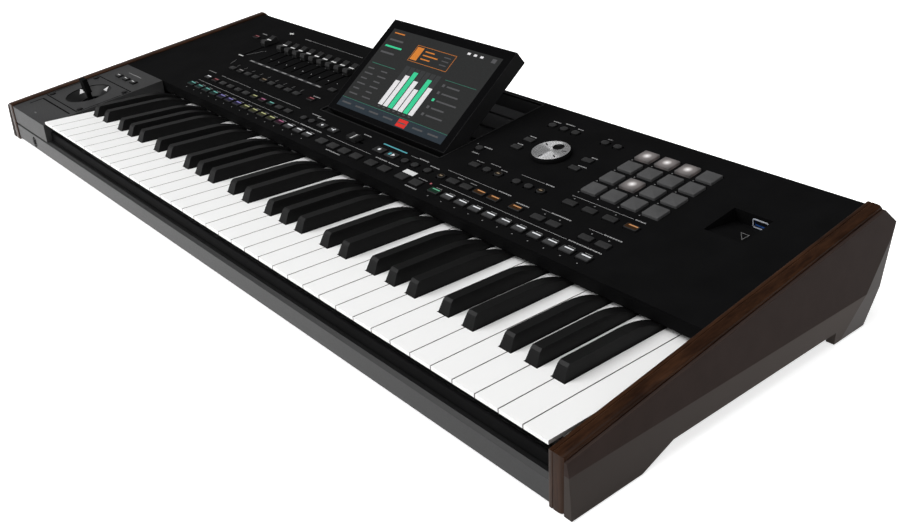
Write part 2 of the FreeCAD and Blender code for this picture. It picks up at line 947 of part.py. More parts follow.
def make_block():
    rear = d.panel_front - d.side_clearance
    wall = d.block_wall
    body = side_body("block_shell", [
        (d.rail_face, d.rail_top),
        (d.rail_face, plane_height(d.rail_face)),
        (rear, plane_height(rear)),
        (rear, pan_top),
        (d.rail_foot + wall, pan_top),
        (d.rail_foot + wall, d.rail_top),
    ], d.side_clearance - inner_half, d.block_width - d.side_clearance)
    inside = d.rail_face + wall
    behind = rear - wall
    hollow = side_body("block_hollow", [
        (inside, d.rail_top - d.overrun),
        (inside, plane_height(inside) - wall),
        (behind, plane_height(behind) - wall),
        (behind, pan_top - d.overrun),
        (d.rail_foot, pan_top - d.overrun),
        (d.rail_foot, d.rail_top - d.overrun),
    ], -inner_half - d.overrun, d.block_width + d.overrun - wall)
    plate_left = d.side_clearance + d.plate_margin - inner_half
    plate_width = d.block_width - d.plate_margin * 2 - d.side_clearance
    plate_start = panel_place(d.plate_front)
    ledge = d.plate_ledge
    window_half = bracket_leg + d.bracket_wall + d.bracket_room
    recess = box("plate_recess", (
        (plate_left - d.plate_fit, plate_width + d.plate_fit * 2),
        (plate_start - d.plate_fit, d.plate_length + d.plate_fit * 2),
        (-d.plate_sheet, d.plate_sheet + d.overrun)))
    window = box("plate_window", (
        (block_middle - window_half, window_half * 2),
        (plate_start + ledge, d.plate_length - ledge * 2),
        (-wall - d.overrun * 2, wall + d.overrun * 4)))
    corners = []
    for across in (plate_left + d.screw_inset, plate_left + plate_width - d.screw_inset):
        for along in (plate_start + d.screw_inset, plate_start + d.plate_length - d.screw_inset):
            corners.append((across, along))
    holes = []
    screws = []
    for index, (across, along) in enumerate(corners):
        holes.append(cylinder("screw_hole_%d" % index, d.screw_shank_radius + d.screw_fit,
                              d.screw_shank_length * 2, across, along, -d.screw_shank_length))
        head = cylinder("screw_head_%d" % index, d.screw_head_radius, d.screw_head_height, across, along,
                        zero)
        shank = cylinder("screw_shank_%d" % index, d.screw_shank_radius, d.screw_shank_length, across, along,
                         -d.screw_shank_length)
        screws.append(fuse("screw_%d" % index, [head, shank]))
    groove_left = block_middle + d.groove_start
    groove_front = panel_place(d.groove_run)
    groove = (-d.groove_depth, d.groove_depth + d.overrun)
    grooves = [
        box("block_groove", (
            (groove_left, d.groove_end - d.groove_start), (groove_front, d.groove_width), groove)),
        box("block_groove_leg", (
            (groove_left, d.groove_width), (groove_front - d.groove_leg, d.groove_leg), groove)),
    ]
    switches = BUTTON_HOLES["joystick_switches"]
    tools = lay_on_panel(gather("block_tools", [recess, window] + grooves + holes + switches))
    node(cut("block", body, [hollow, tools]), "controller_block")
    node(lay_on_panel(gather("screws", screws)), "plate_screws")
    middle = panel_place(d.stick_depth)
    sheet_plate = box("plate_sheet_body", (
        (plate_left, plate_width), (plate_start, d.plate_length), (-d.plate_sheet, d.plate_sheet)))
    cone = dish_ring("dish", middle, zero)
    hole = cylinder("dish_hole", d.dish_radius - d.dish_sheet, d.overrun * 3, block_middle, middle,
                    -d.overrun * 2)
    plate = cut("plate_cut", sheet_plate, [hole] + holes)
    node(lay_on_panel(fuse("plate", [plate, cone])), "joystick_plate")
    make_joystick(middle)


def dish_ring(name, middle, lift):
    """A conical dish with a hole in its floor, turned about the joystick's upright axis."""
    body = new_body(name)
    sheet_gap = d.dish_sheet
    sketch = polygon(new_sketch(body, "XZ_Plane"), [
        (d.dish_hole_radius, -d.dish_drop),
        (d.dish_floor_radius, -d.dish_drop),
        (d.dish_radius, zero),
        (d.dish_radius, -sheet_gap),
        (d.dish_floor_radius, -d.dish_drop - sheet_gap),
        (d.dish_hole_radius, -d.dish_drop - sheet_gap),
    ])
    feature = body.newObject("PartDesign::Revolution", name + "_turned")
    feature.Profile = sketch
    feature.ReferenceAxis = (sketch, ["V_Axis"])
    feature.Angle = 360
    body.Tip = feature
    place(body, block_middle, middle, lift)
    return body


def make_joystick(middle):
    drop = -d.stick_pivot_drop
    reach = d.yoke_outer / 2 + d.yoke_gap + d.bracket_wall
    pin_bore = d.stick_pin_radius + d.stick_pin_fit
    hub = box("stick_hub_body", (
        (block_middle - d.stick_hub_width / 2, d.stick_hub_width),
        (middle - d.stick_hub / 2, d.stick_hub),
        (drop - d.stick_hub / 2, d.stick_hub)))
    stem = box("stick_stem_body", (
        (block_middle - d.stick_stem / 2, d.stick_stem),
        (middle - d.stick_stem / 2, d.stick_stem),
        (drop, d.stick_pivot_drop + d.stick_paddle_start)))
    paddle = new_body("stick_paddle")
    half = d.stick_paddle_width / 2
    crown = d.stick_paddle_top_width / 2
    sketch = polygon(new_sketch(paddle, "XZ_Plane", -(d.stick_paddle_depth / 2)), [
        (-half, d.stick_paddle_start),
        (half, d.stick_paddle_start),
        (crown, d.stick_rise),
        (-crown, d.stick_rise),
    ])
    pad(paddle, sketch, d.stick_paddle_depth)
    place(paddle, block_middle, middle)
    pins = cylinder("stick_pins", d.stick_pin_radius, d.yoke_outer, block_middle - d.yoke_outer / 2, middle,
                    drop, "x")
    node(lay_on_panel(fuse("stick", [hub, stem, paddle, pins])), "joystick_lever")
    ring = cut("yoke_ring", box("yoke_outside", (
        (block_middle - d.yoke_outer / 2, d.yoke_outer),
        (middle - d.yoke_outer / 2, d.yoke_outer),
        (drop - d.yoke_height / 2, d.yoke_height))), [
            box("yoke_inside", (
                (block_middle - d.yoke_inner / 2, d.yoke_inner),
                (middle - d.yoke_inner / 2, d.yoke_inner),
                (drop - d.yoke_height, d.yoke_height * 2))),
            cylinder("yoke_bore", pin_bore, d.yoke_outer * 2, block_middle - d.yoke_outer, middle, drop,
                     "x")])
    trunnions = []
    for index, start in enumerate((middle - reach, middle + d.yoke_outer / 2)):
        trunnions.append(cylinder("yoke_pin_%d" % index, d.stick_pin_radius, reach - d.yoke_outer / 2,
                                  block_middle, start, drop, "y"))
    node(lay_on_panel(fuse("yoke", [ring] + trunnions)), "joystick_yoke")
    base = drop - d.yoke_height / 2 - d.bracket_floor_drop
    parts = [box("bracket_floor", (
        (block_middle - bracket_leg - d.bracket_wall, (bracket_leg + d.bracket_wall) * 2),
        (middle - reach, reach * 2),
        (base - d.bracket_wall, d.bracket_wall)))]
    for index, start in enumerate((middle - reach, middle + reach - d.bracket_wall)):
        parts.append(box("bracket_post_%d" % index, (
            (block_middle - d.bracket_width / 2, d.bracket_width),
            (start, d.bracket_wall),
            (base, drop + d.bracket_post_rise - base))))
    for index, start in enumerate((block_middle - bracket_leg - d.bracket_wall, block_middle + bracket_leg)):
        parts.append(box("bracket_leg_%d" % index, (
            (start, d.bracket_wall),
            (middle - reach, reach * 2),
            (base, -d.plate_sheet - base))))
    bore = cylinder("bracket_bore", pin_bore, reach * 4, block_middle, middle - reach * 2, drop, "y")
    node(lay_on_panel(cut("bracket", fuse("bracket_fused", parts), [bore])), "joystick_bracket")


# Buttons, pads, dial and faders on the panel

# Width and depth of each kind of cap
BUTTON_CAP = (d.button_width, d.button_depth)
SMALL_CAP = (d.small_width, d.small_depth)
MEMORY_CAP = (d.button_width, d.wide_depth)
ROUND_CAP = (d.round_width, d.round_depth)
SWITCH_CAP = (d.small_width, d.round_depth)
WIDE_CAP = (d.wide_width, d.wide_depth)
LOW_CAP = (d.button_width, d.round_depth)

# Each run: group, first place across, step, count, row up the slope, cap
BUTTON_RUNS = (
    ("style_buttons", d.style_first, d.row_pitch, STYLE_COUNT, d.front_row, BUTTON_CAP),
    ("style_buttons", d.track_first, d.row_pitch, TRACK_COUNT, d.second_row, SMALL_CAP),
    ("memory_buttons", d.memory_first, d.memory_pitch, QUAD_COUNT, d.front_row, MEMORY_CAP),
    ("memory_buttons", d.entry_first, d.pair_pitch, PAIR_COUNT, d.front_row, MEMORY_CAP),
    ("memory_buttons", d.tempo_first, d.pair_pitch, PAIR_COUNT, d.front_row, MEMORY_CAP),
    ("keyboard_set_buttons", d.set_first, d.set_pitch, SET_COUNT, d.front_row, BUTTON_CAP),
    ("mixer_buttons", d.mixer_first, d.row_pitch, FADER_COUNT, d.third_row, SMALL_CAP),
    ("mixer_buttons", d.mixer_end, zero, SINGLE_COUNT, d.third_row, SMALL_CAP),
    ("mixer_buttons", d.mixer_end, zero, SINGLE_COUNT, d.fader_button_row, SMALL_CAP),
    ("mixer_buttons", d.red_first, zero, SINGLE_COUNT, d.red_button_row, SMALL_CAP),
    ("panel_buttons", d.ovals_first, d.oval_pitch, PAIR_COUNT, d.second_row, ROUND_CAP),
    ("panel_buttons", d.lit_pair_first, d.lit_pair_pitch, PAIR_COUNT, d.second_row, BUTTON_CAP),
    ("panel_buttons", d.transport_first, d.memory_pitch, PAIR_COUNT, d.second_row, WIDE_CAP),
    ("panel_buttons", d.right_ovals_first, d.oval_pitch, PAIR_COUNT, d.second_row, ROUND_CAP),
    ("panel_buttons", d.exit_ovals_first, d.memory_pitch, PAIR_COUNT, d.second_row, ROUND_CAP),
    ("panel_buttons", d.tone_first, d.set_pitch, QUAD_COUNT, d.second_row, LOW_CAP),
    ("panel_buttons", d.split_first, zero, SINGLE_COUNT, d.second_row, LOW_CAP),
    ("panel_buttons", d.ensemble_first, d.set_pitch, PAIR_COUNT, d.second_row, LOW_CAP),
    ("panel_buttons", d.octave_first, d.set_pitch, PAIR_COUNT, d.second_row, LOW_CAP),
    ("panel_buttons", d.harmony_first, zero, SINGLE_COUNT, d.third_row, SMALL_CAP),
    ("panel_buttons", d.page_first, d.oval_pitch, PAIR_COUNT, d.third_row, ROUND_CAP),
    ("panel_buttons", d.menu_first, d.oval_pitch, TRIPLE_COUNT, d.third_row, ROUND_CAP),
    ("panel_buttons", d.bank_first, d.bank_pitch, QUAD_COUNT, d.third_row, LOW_CAP),
    ("panel_buttons", d.well_side_first, zero, SINGLE_COUNT, d.well_side_row, ROUND_CAP),
    ("panel_buttons", d.dial_left_first, d.dial_pair_pitch, PAIR_COUNT, d.dial_low_row, SMALL_CAP),
    ("panel_buttons", d.dial_left_first, d.dial_pair_pitch, PAIR_COUNT, d.dial_high_row, SMALL_CAP),
    ("panel_buttons", d.upper_left_first, d.oval_pitch, TRIPLE_COUNT, d.upper_row, ROUND_CAP),
    ("panel_buttons", d.upper_right_first, d.oval_pitch, PAIR_COUNT, d.upper_row, ROUND_CAP),
    ("joystick_switches", switch_start, d.switch_pitch, TRIPLE_COUNT, d.switch_row, SWITCH_CAP),
)
BUTTON_HOLES = {}
PANEL_TOOLS = []


def make_buttons():
    caps = {}
    for group, first, step, count, row, (width, depth) in BUTTON_RUNS:
        for index in range(count):
            middle = first + step * index
            tag = "%s_%d" % (group, len(caps.setdefault(group, [])))
            caps[group].append(box(tag, (
                (middle - width / 2, width),
                (row - depth / 2, depth),
                (-d.button_skirt, d.button_skirt + d.button_proud))))
            BUTTON_HOLES.setdefault(group, []).append(panel_hole(tag, middle, row, width, depth))
    for group, parts in caps.items():
        node(lay_on_panel(gather(group + "_group", parts)), group)


def panel_hole(tag, middle, row, width, depth):
    """A square hole through the panel with the buttons' clearance round it."""
    fit = d.button_fit
    return box(tag + "_hole", (
        (middle - width / 2 - fit, width + fit * 2),
        (row - depth / 2 - fit, depth + fit * 2),
        (-d.block_wall - d.overrun, d.block_wall + d.overrun * 2)))


def make_pads():
    pads = []
    width = d.pad_pitch - d.pad_gap
    depth = d.pad_pitch - d.pad_row_gap
    for row in range(PAD_ROWS):
        for column in range(PAD_ROWS):
            middle = d.pad_first + d.pad_pitch * column
            along = d.pad_row_first + d.pad_pitch * row
            tag = "pad_%d_%d" % (row, column)
            pads.append(box(tag, (
                (middle - width / 2, width),
                (along - depth / 2, depth),
                (-d.button_skirt, d.button_skirt + d.pad_proud))))
            PANEL_TOOLS.append(panel_hole(tag, middle, along, width, depth))
    node(lay_on_panel(gather("pads", pads)), "chord_pads")


def make_dial():
    body = new_body("dial_body")
    shaft = -d.button_skirt
    sketch = polygon(new_sketch(body, "XZ_Plane"), [
        (zero, shaft),
        (d.dial_shaft_radius, shaft),
        (d.dial_shaft_radius, d.dial_lift),
        (d.dial_skirt_radius, d.dial_lift),
        (d.dial_skirt_radius, d.dial_skirt_height),
        (d.dial_radius, d.dial_skirt_height),
        (d.dial_radius, d.dial_height),
        (zero, d.dial_height),
    ])
    feature = body.newObject("PartDesign::Revolution", "dial_turned")
    feature.Profile = sketch
    feature.ReferenceAxis = (sketch, ["V_Axis"])
    feature.Angle = 360
    body.Tip = feature
    place(body, d.dial_x, d.dial_run)
    dimple = doc.addObject("Part::Sphere", "dial_dimple")
    bind(dimple, "Radius", d.dimple_radius)
    side = d.dimple_offset * DIAGONAL_SHARE
    place(dimple, d.dial_x + side, d.dial_run + side, d.dial_height + d.dimple_radius - d.dimple_depth)
    node(lay_on_panel(cut("dial", body, [dimple])), "value_dial")
    PANEL_TOOLS.append(cylinder("dial_hole", d.dial_shaft_radius + d.dial_fit, d.panel_sheet + d.overrun * 2,
                                d.dial_x, d.dial_run,
                                -d.panel_sheet - d.overrun))


def fader_cap(name, across, along, width, length):
    """A cap with a finger valley between two ridges, on its side outline of (along, out) points."""
    body = new_body(name)
    base = d.fader_cap_lift
    ridge = base + d.fader_cap_height
    half = length / 2
    outline = [
        (-half, base),
        (-half, base + d.fader_shoulder),
        (d.fader_ridge_inset - half, ridge),
        (zero, ridge - d.fader_valley),
        (half - d.fader_ridge_inset, ridge),
        (half, base + d.fader_shoulder),
        (half, base),
    ]
    pad(body, polygon(new_sketch(body, "YZ_Plane", -(width / 2)), outline), width)
    place(body, across, along)
    return body


def make_faders():
    places = [("master_fader", d.master_x)]
    for index in range(FADER_COUNT):
        places.append(("slot_fader_%d" % (index + 1), d.fader_first + d.fader_pitch * index))
    for name, across in places:
        cap = fader_cap(name + "_cap", across, d.fader_rest, d.fader_cap_width, d.fader_cap_length)
        stem = box(name + "_stem", (
            (across - d.fader_stem_width / 2, d.fader_stem_width),
            (d.fader_rest - d.fader_stem_length / 2, d.fader_stem_length),
            (-fader_stem_drop, fader_stem_drop + d.fader_cap_lift)))
        node(lay_on_panel(fuse(name + "_slider", [cap, stem])), name)
        PANEL_TOOLS.append(box(name + "_slot", (
            (across - fader_slot_width / 2, fader_slot_width),
            (d.fader_slot_start, d.fader_slot_end - d.fader_slot_start),
            (-d.panel_sheet - d.overrun, d.panel_sheet + d.overrun * 2))))


def make_balance():
    cap = box("balance_cap_body", (
        (d.balance_x - d.balance_cap / 2, d.balance_cap),
        (d.second_row - d.fader_cap_width / 2, d.fader_cap_width),
        (d.fader_cap_lift, d.fader_cap_height - d.fader_valley)))
    stem = box("balance_stem", (
        (d.balance_x - d.fader_stem_length / 2, d.fader_stem_length),
        (d.second_row - d.fader_stem_width / 2, d.fader_stem_width),
        (-fader_stem_drop, fader_stem_drop + d.fader_cap_lift)))
    node(lay_on_panel(fuse("balance_body", [cap, stem])), "balance_slider")
    PANEL_TOOLS.append(box("balance_slot_hole", (
        (d.balance_x - d.balance_slot / 2, d.balance_slot),
        (d.second_row - fader_slot_width / 2, fader_slot_width),
        (-d.panel_sheet - d.overrun, d.panel_sheet + d.overrun * 2))))


# Panel sheet, the boards under it, and the bay for a storage stick


def make_panel():
    width = (inner_half - d.side_clearance) * 2
    sheet_body = box("panel_sheet_body", (
        (-width / 2, width), (zero, panel_length), (-d.panel_sheet, d.panel_sheet)))
    lip = box("panel_lip", (
        (-width / 2, width),
        (zero, d.panel_sheet),
        (-d.fallboard_drop, d.fallboard_drop - d.panel_sheet)))
    node(lay_on_panel(gather("panel_front_edge", [lip])), "fallboard")
    through = (-d.panel_sheet - d.overrun, d.panel_sheet + d.overrun * 2)
    well = box("panel_well_cut", (
        (-d.well_half_width, d.well_half_width * 2),
        (d.well_front, d.well_rear - d.well_front),
        through))
    bay = box("panel_bay_cut", (
        (d.bay_left, d.bay_width), (d.bay_front, d.bay_length), through))
    tools = [well, bay] + PANEL_TOOLS
    for group, holes in BUTTON_HOLES.items():
        if group != "joystick_switches":
            tools = tools + holes
    node(lay_on_panel(cut("panel", sheet_body, tools)), "top_panel")


def make_panel_boards():
    top = -board_drop
    rear = panel_length - d.board_margin
    near = d.board_margin
    well_edge = d.well_half_width + d.well_wall + d.board_well_gap
    middle_edge = well_edge - d.board_well_gap / 2
    spans = (
        ("left_board_body", d.left_board_start, -well_edge, rear),
        ("middle_board_body", -middle_edge, middle_edge, d.well_front - d.well_wall - d.board_well_gap),
        ("right_board_body", well_edge, d.right_board_end, rear),
    )
    parts = []
    for name, start, end, far in spans:
        parts.append(box(name, (
            (start, end - start), (near, far - near), (top - d.board_sheet, d.board_sheet))))
        corners = [(across, along) for across in (start, end - d.board_post)
                   for along in (d.board_post_front, far - d.board_post)]
        for index, (across, along) in enumerate(corners):
            parts.append(box("%s_post_%d" % (name, index), (
                (across, d.board_post), (along, d.board_post), (top, board_drop - d.panel_sheet))))
    BOARDS.append(lay_on_panel(gather("panel_boards", parts)))


def make_bay():
    wall = d.bay_wall
    body = new_body("bay_body")
    outer = polygon(new_sketch(body, "YZ_Plane"), [
        (-wall, -d.panel_sheet),
        (-wall, -d.panel_sheet - wall),
        (d.bay_length + wall, -d.bay_drop - wall * 2),
        (d.bay_length + wall, -d.panel_sheet),
    ])
    pad(body, outer, d.bay_width + wall * 2)
    place(body, d.bay_left - wall, d.bay_front)
    hollow = new_body("bay_hollow")
    inner = polygon(new_sketch(hollow, "YZ_Plane"), [
        (zero, d.overrun), (zero, -d.panel_sheet), (d.bay_length, -d.bay_drop), (d.bay_length, d.overrun)])
    pad(hollow, inner, d.bay_width)
    place(hollow, d.bay_left, d.bay_front)
    middle = d.bay_left + d.bay_width / 2 + d.port_shift
    base = d.port_floor - d.bay_drop
    hole = box("bay_port_hole", (
        (middle - d.port_width / 2, d.port_width),
        (d.bay_front + d.bay_length - d.overrun, wall + d.overrun * 2),
        (base, d.port_height)))
    node(lay_on_panel(cut("bay", body, [hollow, hole])), "storage_bay")
    shell = box("port_shell", (
        (middle - d.port_width / 2, d.port_width),
        (d.bay_front + d.bay_length, d.port_depth),
        (base, d.port_height)))
    mouth = box("port_mouth", (
        (middle - d.port_width / 2 + d.port_wall, d.port_width - d.port_wall * 2),
        (d.bay_front + d.bay_length - d.overrun, d.port_depth),
        (base + d.port_wall, d.port_height - d.port_wall * 2)))
    return lay_on_panel(cut("port", shell, [mouth]))


# Tilting display and the well that it folds into


def make_display():
    wall = d.well_wall
    floor = -d.well_depth
    outside = box("well_outside", (
        (-d.well_half_width - wall, (d.well_half_width + wall) * 2),
        (d.well_front - wall, d.well_rear - d.well_front + wall * 2),
        (floor - wall, d.well_depth + wall - d.panel_sheet)))
    inside = box("well_inside", (
        (-d.well_half_width, d.well_half_width * 2),
        (d.well_front, d.well_rear - d.well_front),
        (floor, d.well_depth + d.overrun)))
    bores = cylinder("well_bores", d.display_pin_radius + d.display_pin_fit, d.well_half_width * 4,
                     -d.well_half_width * 2, d.display_axis_run, -d.display_axis_drop, "x")
    parts = [cut("well_tray", outside, [inside, bores])]
    for index in range(RIB_COUNT):
        start = d.display_axis_run + d.rib_pitch * (index + 1)
        parts.append(box("well_rib_%d" % index, (
            (-d.well_half_width, d.well_half_width * 2), (start, d.rib_width), (floor, d.rib_height))))
    node(lay_on_panel(fuse("well", parts)), "display_well")
    low = -d.display_below_axis
    back = d.display_face - d.display_thickness
    half = display_half
    reach = d.display_gap + d.well_wall - d.side_clearance
    skin = d.display_wall
    shell = box("display_shell", ((-half, half * 2), (low, d.display_height), (back, d.display_thickness)))
    hollow = box("display_hollow", (
        (-half + skin, (half - skin) * 2),
        (low + skin, d.display_height - skin * 2),
        (back + skin, d.display_thickness)))
    seat = box("display_seat", (
        (-half + d.glass_margin, (half - d.glass_margin) * 2),
        (low + d.glass_margin, d.display_height - d.glass_margin * 2),
        (d.display_face - d.glass_sheet, d.glass_sheet + d.overrun)))
    pins = []
    for index, start in enumerate((-half - reach, half - skin)):
        pins.append(cylinder("display_pin_%d" % index, d.display_pin_radius, reach + skin, start, zero, zero,
                             "x"))
    housing = fuse("housing", [cut("housing_cut", shell, [hollow, seat])] + pins)
    glass_low = low + d.glass_margin
    glass = box("glass", (
        (-half + d.glass_margin, (half - d.glass_margin) * 2),
        (glass_low, d.display_height - d.glass_margin * 2),
        (d.display_face - d.glass_sheet, d.glass_sheet)))
    module = box("screen_module_body", (
        (-half + d.screen_margin, (half - d.screen_margin) * 2),
        (low + d.screen_margin, d.display_height - d.screen_margin * 2),
        (d.display_face - d.glass_sheet - d.screen_module, d.screen_module)))
    screen = fuse("screen", [glass, module])
    slope = math.radians(panel_tilt.value)
    depth = d.display_axis_run.value * math.cos(slope) + d.display_axis_drop.value * math.sin(slope)
    height = d.display_axis_run.value * math.sin(slope) - d.display_axis_drop.value * math.cos(slope)
    for thing, label in ((housing, "display_housing"), (screen, "display_screen")):
        turn(thing, Vector(1, 0, 0), panel_tilt + Size(DISPLAY_TILT, "%.3f deg" % DISPLAY_TILT))
        place(thing, zero, front + d.panel_front + depth, d.panel_front_height + height)
        node(thing, label)


# Rear panel with its sockets and power switch


def rear_line(height, inset):
    """Depth of the sloping rear wall at a height, inset from the cheeks' rear edge."""
    return foot_end + (height - d.foot_lift) * rear_run / rear_rise - inset


def lay_on_rear(thing):
    """Puts an object made in rear coordinates (across, out of the wall, up the wall) in place."""
    turn(thing, Vector(1, 0, 0), -rear_lean)
    place(thing, zero, front + rear_line(pan_top, d.rear_inset), pan_top)
    return thing


def rear_socket(name, across, radius, bore):
    """A round socket: a square body behind the wall and a nose through it, bored from outside."""
    side = radius * 2
    body = box(name + "_body", (
        (across - radius, side),
        (-d.rear_sheet - d.socket_depth, d.socket_depth),
        (d.socket_run - radius, side)))
    nose = cylinder(name + "_nose", radius - d.inlet_wall / 2, d.rear_sheet + d.socket_proud, across,
                    -d.rear_sheet, d.socket_run, "y")
    hole = cylinder(name + "_bore", bore, d.socket_depth, across,
                    d.socket_proud + d.overrun - d.socket_depth, d.socket_run, "y")
    opening = cylinder(name + "_opening", radius - d.inlet_wall / 2 + d.rear_fit, d.socket_depth, across,
                       -d.socket_depth / 2, d.socket_run, "y")
    return cut(name, fuse(name + "_joined", [body, nose]), [hole]), opening


def make_rear(port):
    inner = d.rear_inset + d.rear_sheet
    start = d.side_clearance - inner_half
    width = inner_width - d.side_clearance * 2
    inner_bulge = d.rear_bulge_height - d.rear_sheet / 2
    outer_seam = (rear_line(d.rear_bulge_height, d.rear_inset), d.rear_bulge_height)
    inner_seam = (rear_line(inner_bulge, inner), inner_bulge)
    wall = side_body("rear_wall", [
        (rear_line(pan_top, d.rear_inset), pan_top),
        outer_seam,
        inner_seam,
        (rear_line(pan_top + d.rear_sheet, inner), pan_top + d.rear_sheet),
        (pan_end - d.rear_flange, pan_top + d.rear_sheet),
        (pan_end - d.rear_flange, pan_top),
    ], start, width)
    node(side_body("rear_strip", [
        outer_seam,
        (panel_rear, panel_underside(panel_rear)),
        (panel_rear - d.rear_lip, panel_underside(panel_rear - d.rear_lip)),
        inner_seam,
    ], start, width), "rear_cap")
    sockets = []
    openings = []
    for index in range(JACK_COUNT):
        socket, opening = rear_socket("rear_jack_%d" % index, d.jack_row_start + d.jack_spacing * index,
                                      d.socket_side / 2, d.socket_bore)
        sockets.append(socket)
        openings.append(opening)
    for index in range(DIN_COUNT):
        socket, opening = rear_socket("rear_din_%d" % index, d.din_row_start + d.din_spacing * index,
                                      d.din_radius, d.din_bore)
        sockets.append(socket)
        openings.append(opening)
    inlet_base = d.socket_run - d.inlet_height / 2
    inlet = box("inlet_body", (
        (d.inlet_x - d.inlet_width / 2, d.inlet_width),
        (-d.rear_sheet - d.socket_depth, d.socket_depth + d.rear_sheet + d.socket_proud),
        (inlet_base, d.inlet_height)))
    cavity = box("inlet_cavity", (
        (d.inlet_x - d.inlet_width / 2 + d.inlet_wall, d.inlet_width - d.inlet_wall * 2),
        (-d.socket_depth, d.socket_depth * 2),
        (inlet_base + d.inlet_wall, d.inlet_height - d.inlet_wall * 2)))
    sockets.append(cut("inlet", inlet, [cavity]))
    openings.append(box("inlet_opening", (
        (d.inlet_x - d.inlet_width / 2 - d.rear_fit, d.inlet_width + d.rear_fit * 2),
        (-d.socket_depth / 2, d.socket_depth),
        (inlet_base - d.rear_fit, d.inlet_height + d.rear_fit * 2))))
    openings.append(box("rocker_opening", (
        (d.rocker_x - d.rocker_width / 2 - d.button_fit, d.rocker_width + d.button_fit * 2),
        (-d.socket_depth / 2, d.socket_depth),
        (d.socket_run - d.rocker_height / 2 - d.rocker_fit, d.rocker_height + d.rocker_fit * 2))))
    pin_reach = d.button_fit + d.inlet_wall
    rocker_cap = new_body("rocker_cap")
    half = d.rocker_height / 2
    pad(rocker_cap, polygon(new_sketch(rocker_cap, "YZ_Plane", d.rocker_x - d.rocker_width / 2), [
        (-d.rear_sheet - d.rocker_thickness, d.rocker_fit - half),
        (-d.rear_sheet - d.rocker_thickness, half - d.rocker_fit),
        (zero, half),
        (-d.rocker_fold + d.rocker_proud, zero),
        (d.rocker_proud, -half),
    ]), d.rocker_width)
    place(rocker_cap, zero, zero, d.socket_run)
    rocker_pin = cylinder("rocker_pin", d.rocker_pin_radius, d.rocker_width + pin_reach * 2,
                          d.rocker_x - d.rocker_width / 2 - pin_reach, -d.rocker_pivot, d.socket_run, "x")
    node(lay_on_rear(fuse("rocker", [rocker_cap, rocker_pin])), "power_rocker")
    ears = []
    for index, across in enumerate((
            d.rocker_x - d.rocker_width / 2 - pin_reach, d.rocker_x + d.rocker_width / 2 + d.button_fit)):
        ears.append(box("rocker_ear_%d" % index, (
            (across, d.inlet_wall),
            (-d.rear_sheet - d.rocker_thickness, d.rocker_thickness),
            (d.socket_run - d.rocker_height / 4, d.rocker_height / 2))))
    seat = cylinder("rocker_seat", d.rocker_pin_radius + d.rocker_pin_fit, d.rocker_width * 4,
                    d.rocker_x - d.rocker_width * 2, -d.rocker_pivot, d.socket_run, "x")
    sockets.append(cut("rocker_frame", gather("rocker_ears", ears), [seat]))
    node(cut("rear", wall, [lay_on_rear(gather("rear_openings", openings))]), "rear_panel")
    jack = front_jack()
    node(gather("sockets", [lay_on_rear(gather("rear_sockets", sockets)), port, jack]), "sockets")


def front_jack():
    face = front + d.rail_face
    wall = d.rail_wall
    body = box("front_jack_body", (
        (jack_across - d.jack_side / 2, d.jack_side),
        (face + wall, d.jack_length),
        (d.jack_height - d.jack_body_height / 2 + d.rear_fit * 4, d.jack_body_height)))
    nose = cylinder("front_jack_nose", d.jack_nose, wall, jack_across, face, d.jack_height, "y")
    bore = cylinder("front_jack_bore", d.jack_bore, d.jack_length, jack_across, face - d.overrun,
                    d.jack_height, "y")
    return cut("front_jack_cut", fuse("front_jack_joined", [body, nose]), [bore])


# Main board and power supply on the floor pan


def make_electronics():
    board_base = pan_top + d.board_post_height
    board_front = d.bed_rear + d.main_board_front
    supply_front = d.bed_rear + d.supply_front
    room_end = pan_end - d.rear_flange
    board_length = room_end - board_front
    parts = [box("main_pcb", (
        (d.main_board_x, d.main_board_width),
        (front + board_front, board_length),
        (board_base, d.board_sheet)))]
    for index, (across, along) in enumerate((
            (zero, zero), (d.main_board_width - d.board_post, zero),
            (zero, board_length - d.board_post),
            (d.main_board_width - d.board_post, board_length - d.board_post))):
        parts.append(box("main_post_%d" % index, (
            (d.main_board_x + across, d.board_post),
            (front + board_front + along, d.board_post),
            (pan_top, d.board_post_height))))
    chip = d.board_post * 4
    for index in range(CHIP_COUNT):
        parts.append(box("main_chip_%d" % index, (
            (d.main_board_x + chip + chip * 2 * index, chip),
            (front + board_front + board_length / 3, chip),
            (board_base + d.board_sheet, d.board_sheet * 2))))
    parts.append(box("supply", (
        (d.supply_x, d.supply_width),
        (front + supply_front, room_end - d.supply_gap - supply_front),
        (pan_top, d.supply_height))))
    node(gather("electronics", BOARDS + parts), "circuit_boards")


def main():
    make_wood_trims()
    make_side_panels()
    make_white_keys()
    make_black_keys()
    make_keybed()
    make_base()
    make_buttons()
    make_pads()
    make_dial()
    make_faders()
    make_balance()
    make_panel()
    make_block()
    make_panel_boards()
    make_display()
    make_rear(make_bay())
    make_electronics()
    doc.recompute()
    for thing in doc.Objects:
        if "Invalid" in thing.State or "Error" in thing.State:
            raise RuntimeError("%s failed to compute" % thing.Label)
    for thing in nodes:
        if thing.Shape.isNull() or not thing.Shape.isValid() or not thing.Shape.Solids:
            raise RuntimeError("%s has no valid solid" % thing.Label)
    os.makedirs("parts", exist_ok=True)
    for thing in nodes:
        thing.Shape.exportStep("parts/%s.step" % thing.Label)
        print("%-24s %3d solids" % (thing.Label, len(thing.Shape.Solids)))
    print(len(nodes), "nodes")


main()
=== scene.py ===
import json
import math

import bmesh
import bpy
from bpy.props import FloatProperty, FloatVectorProperty, PointerProperty
from mathutils import Matrix, Vector


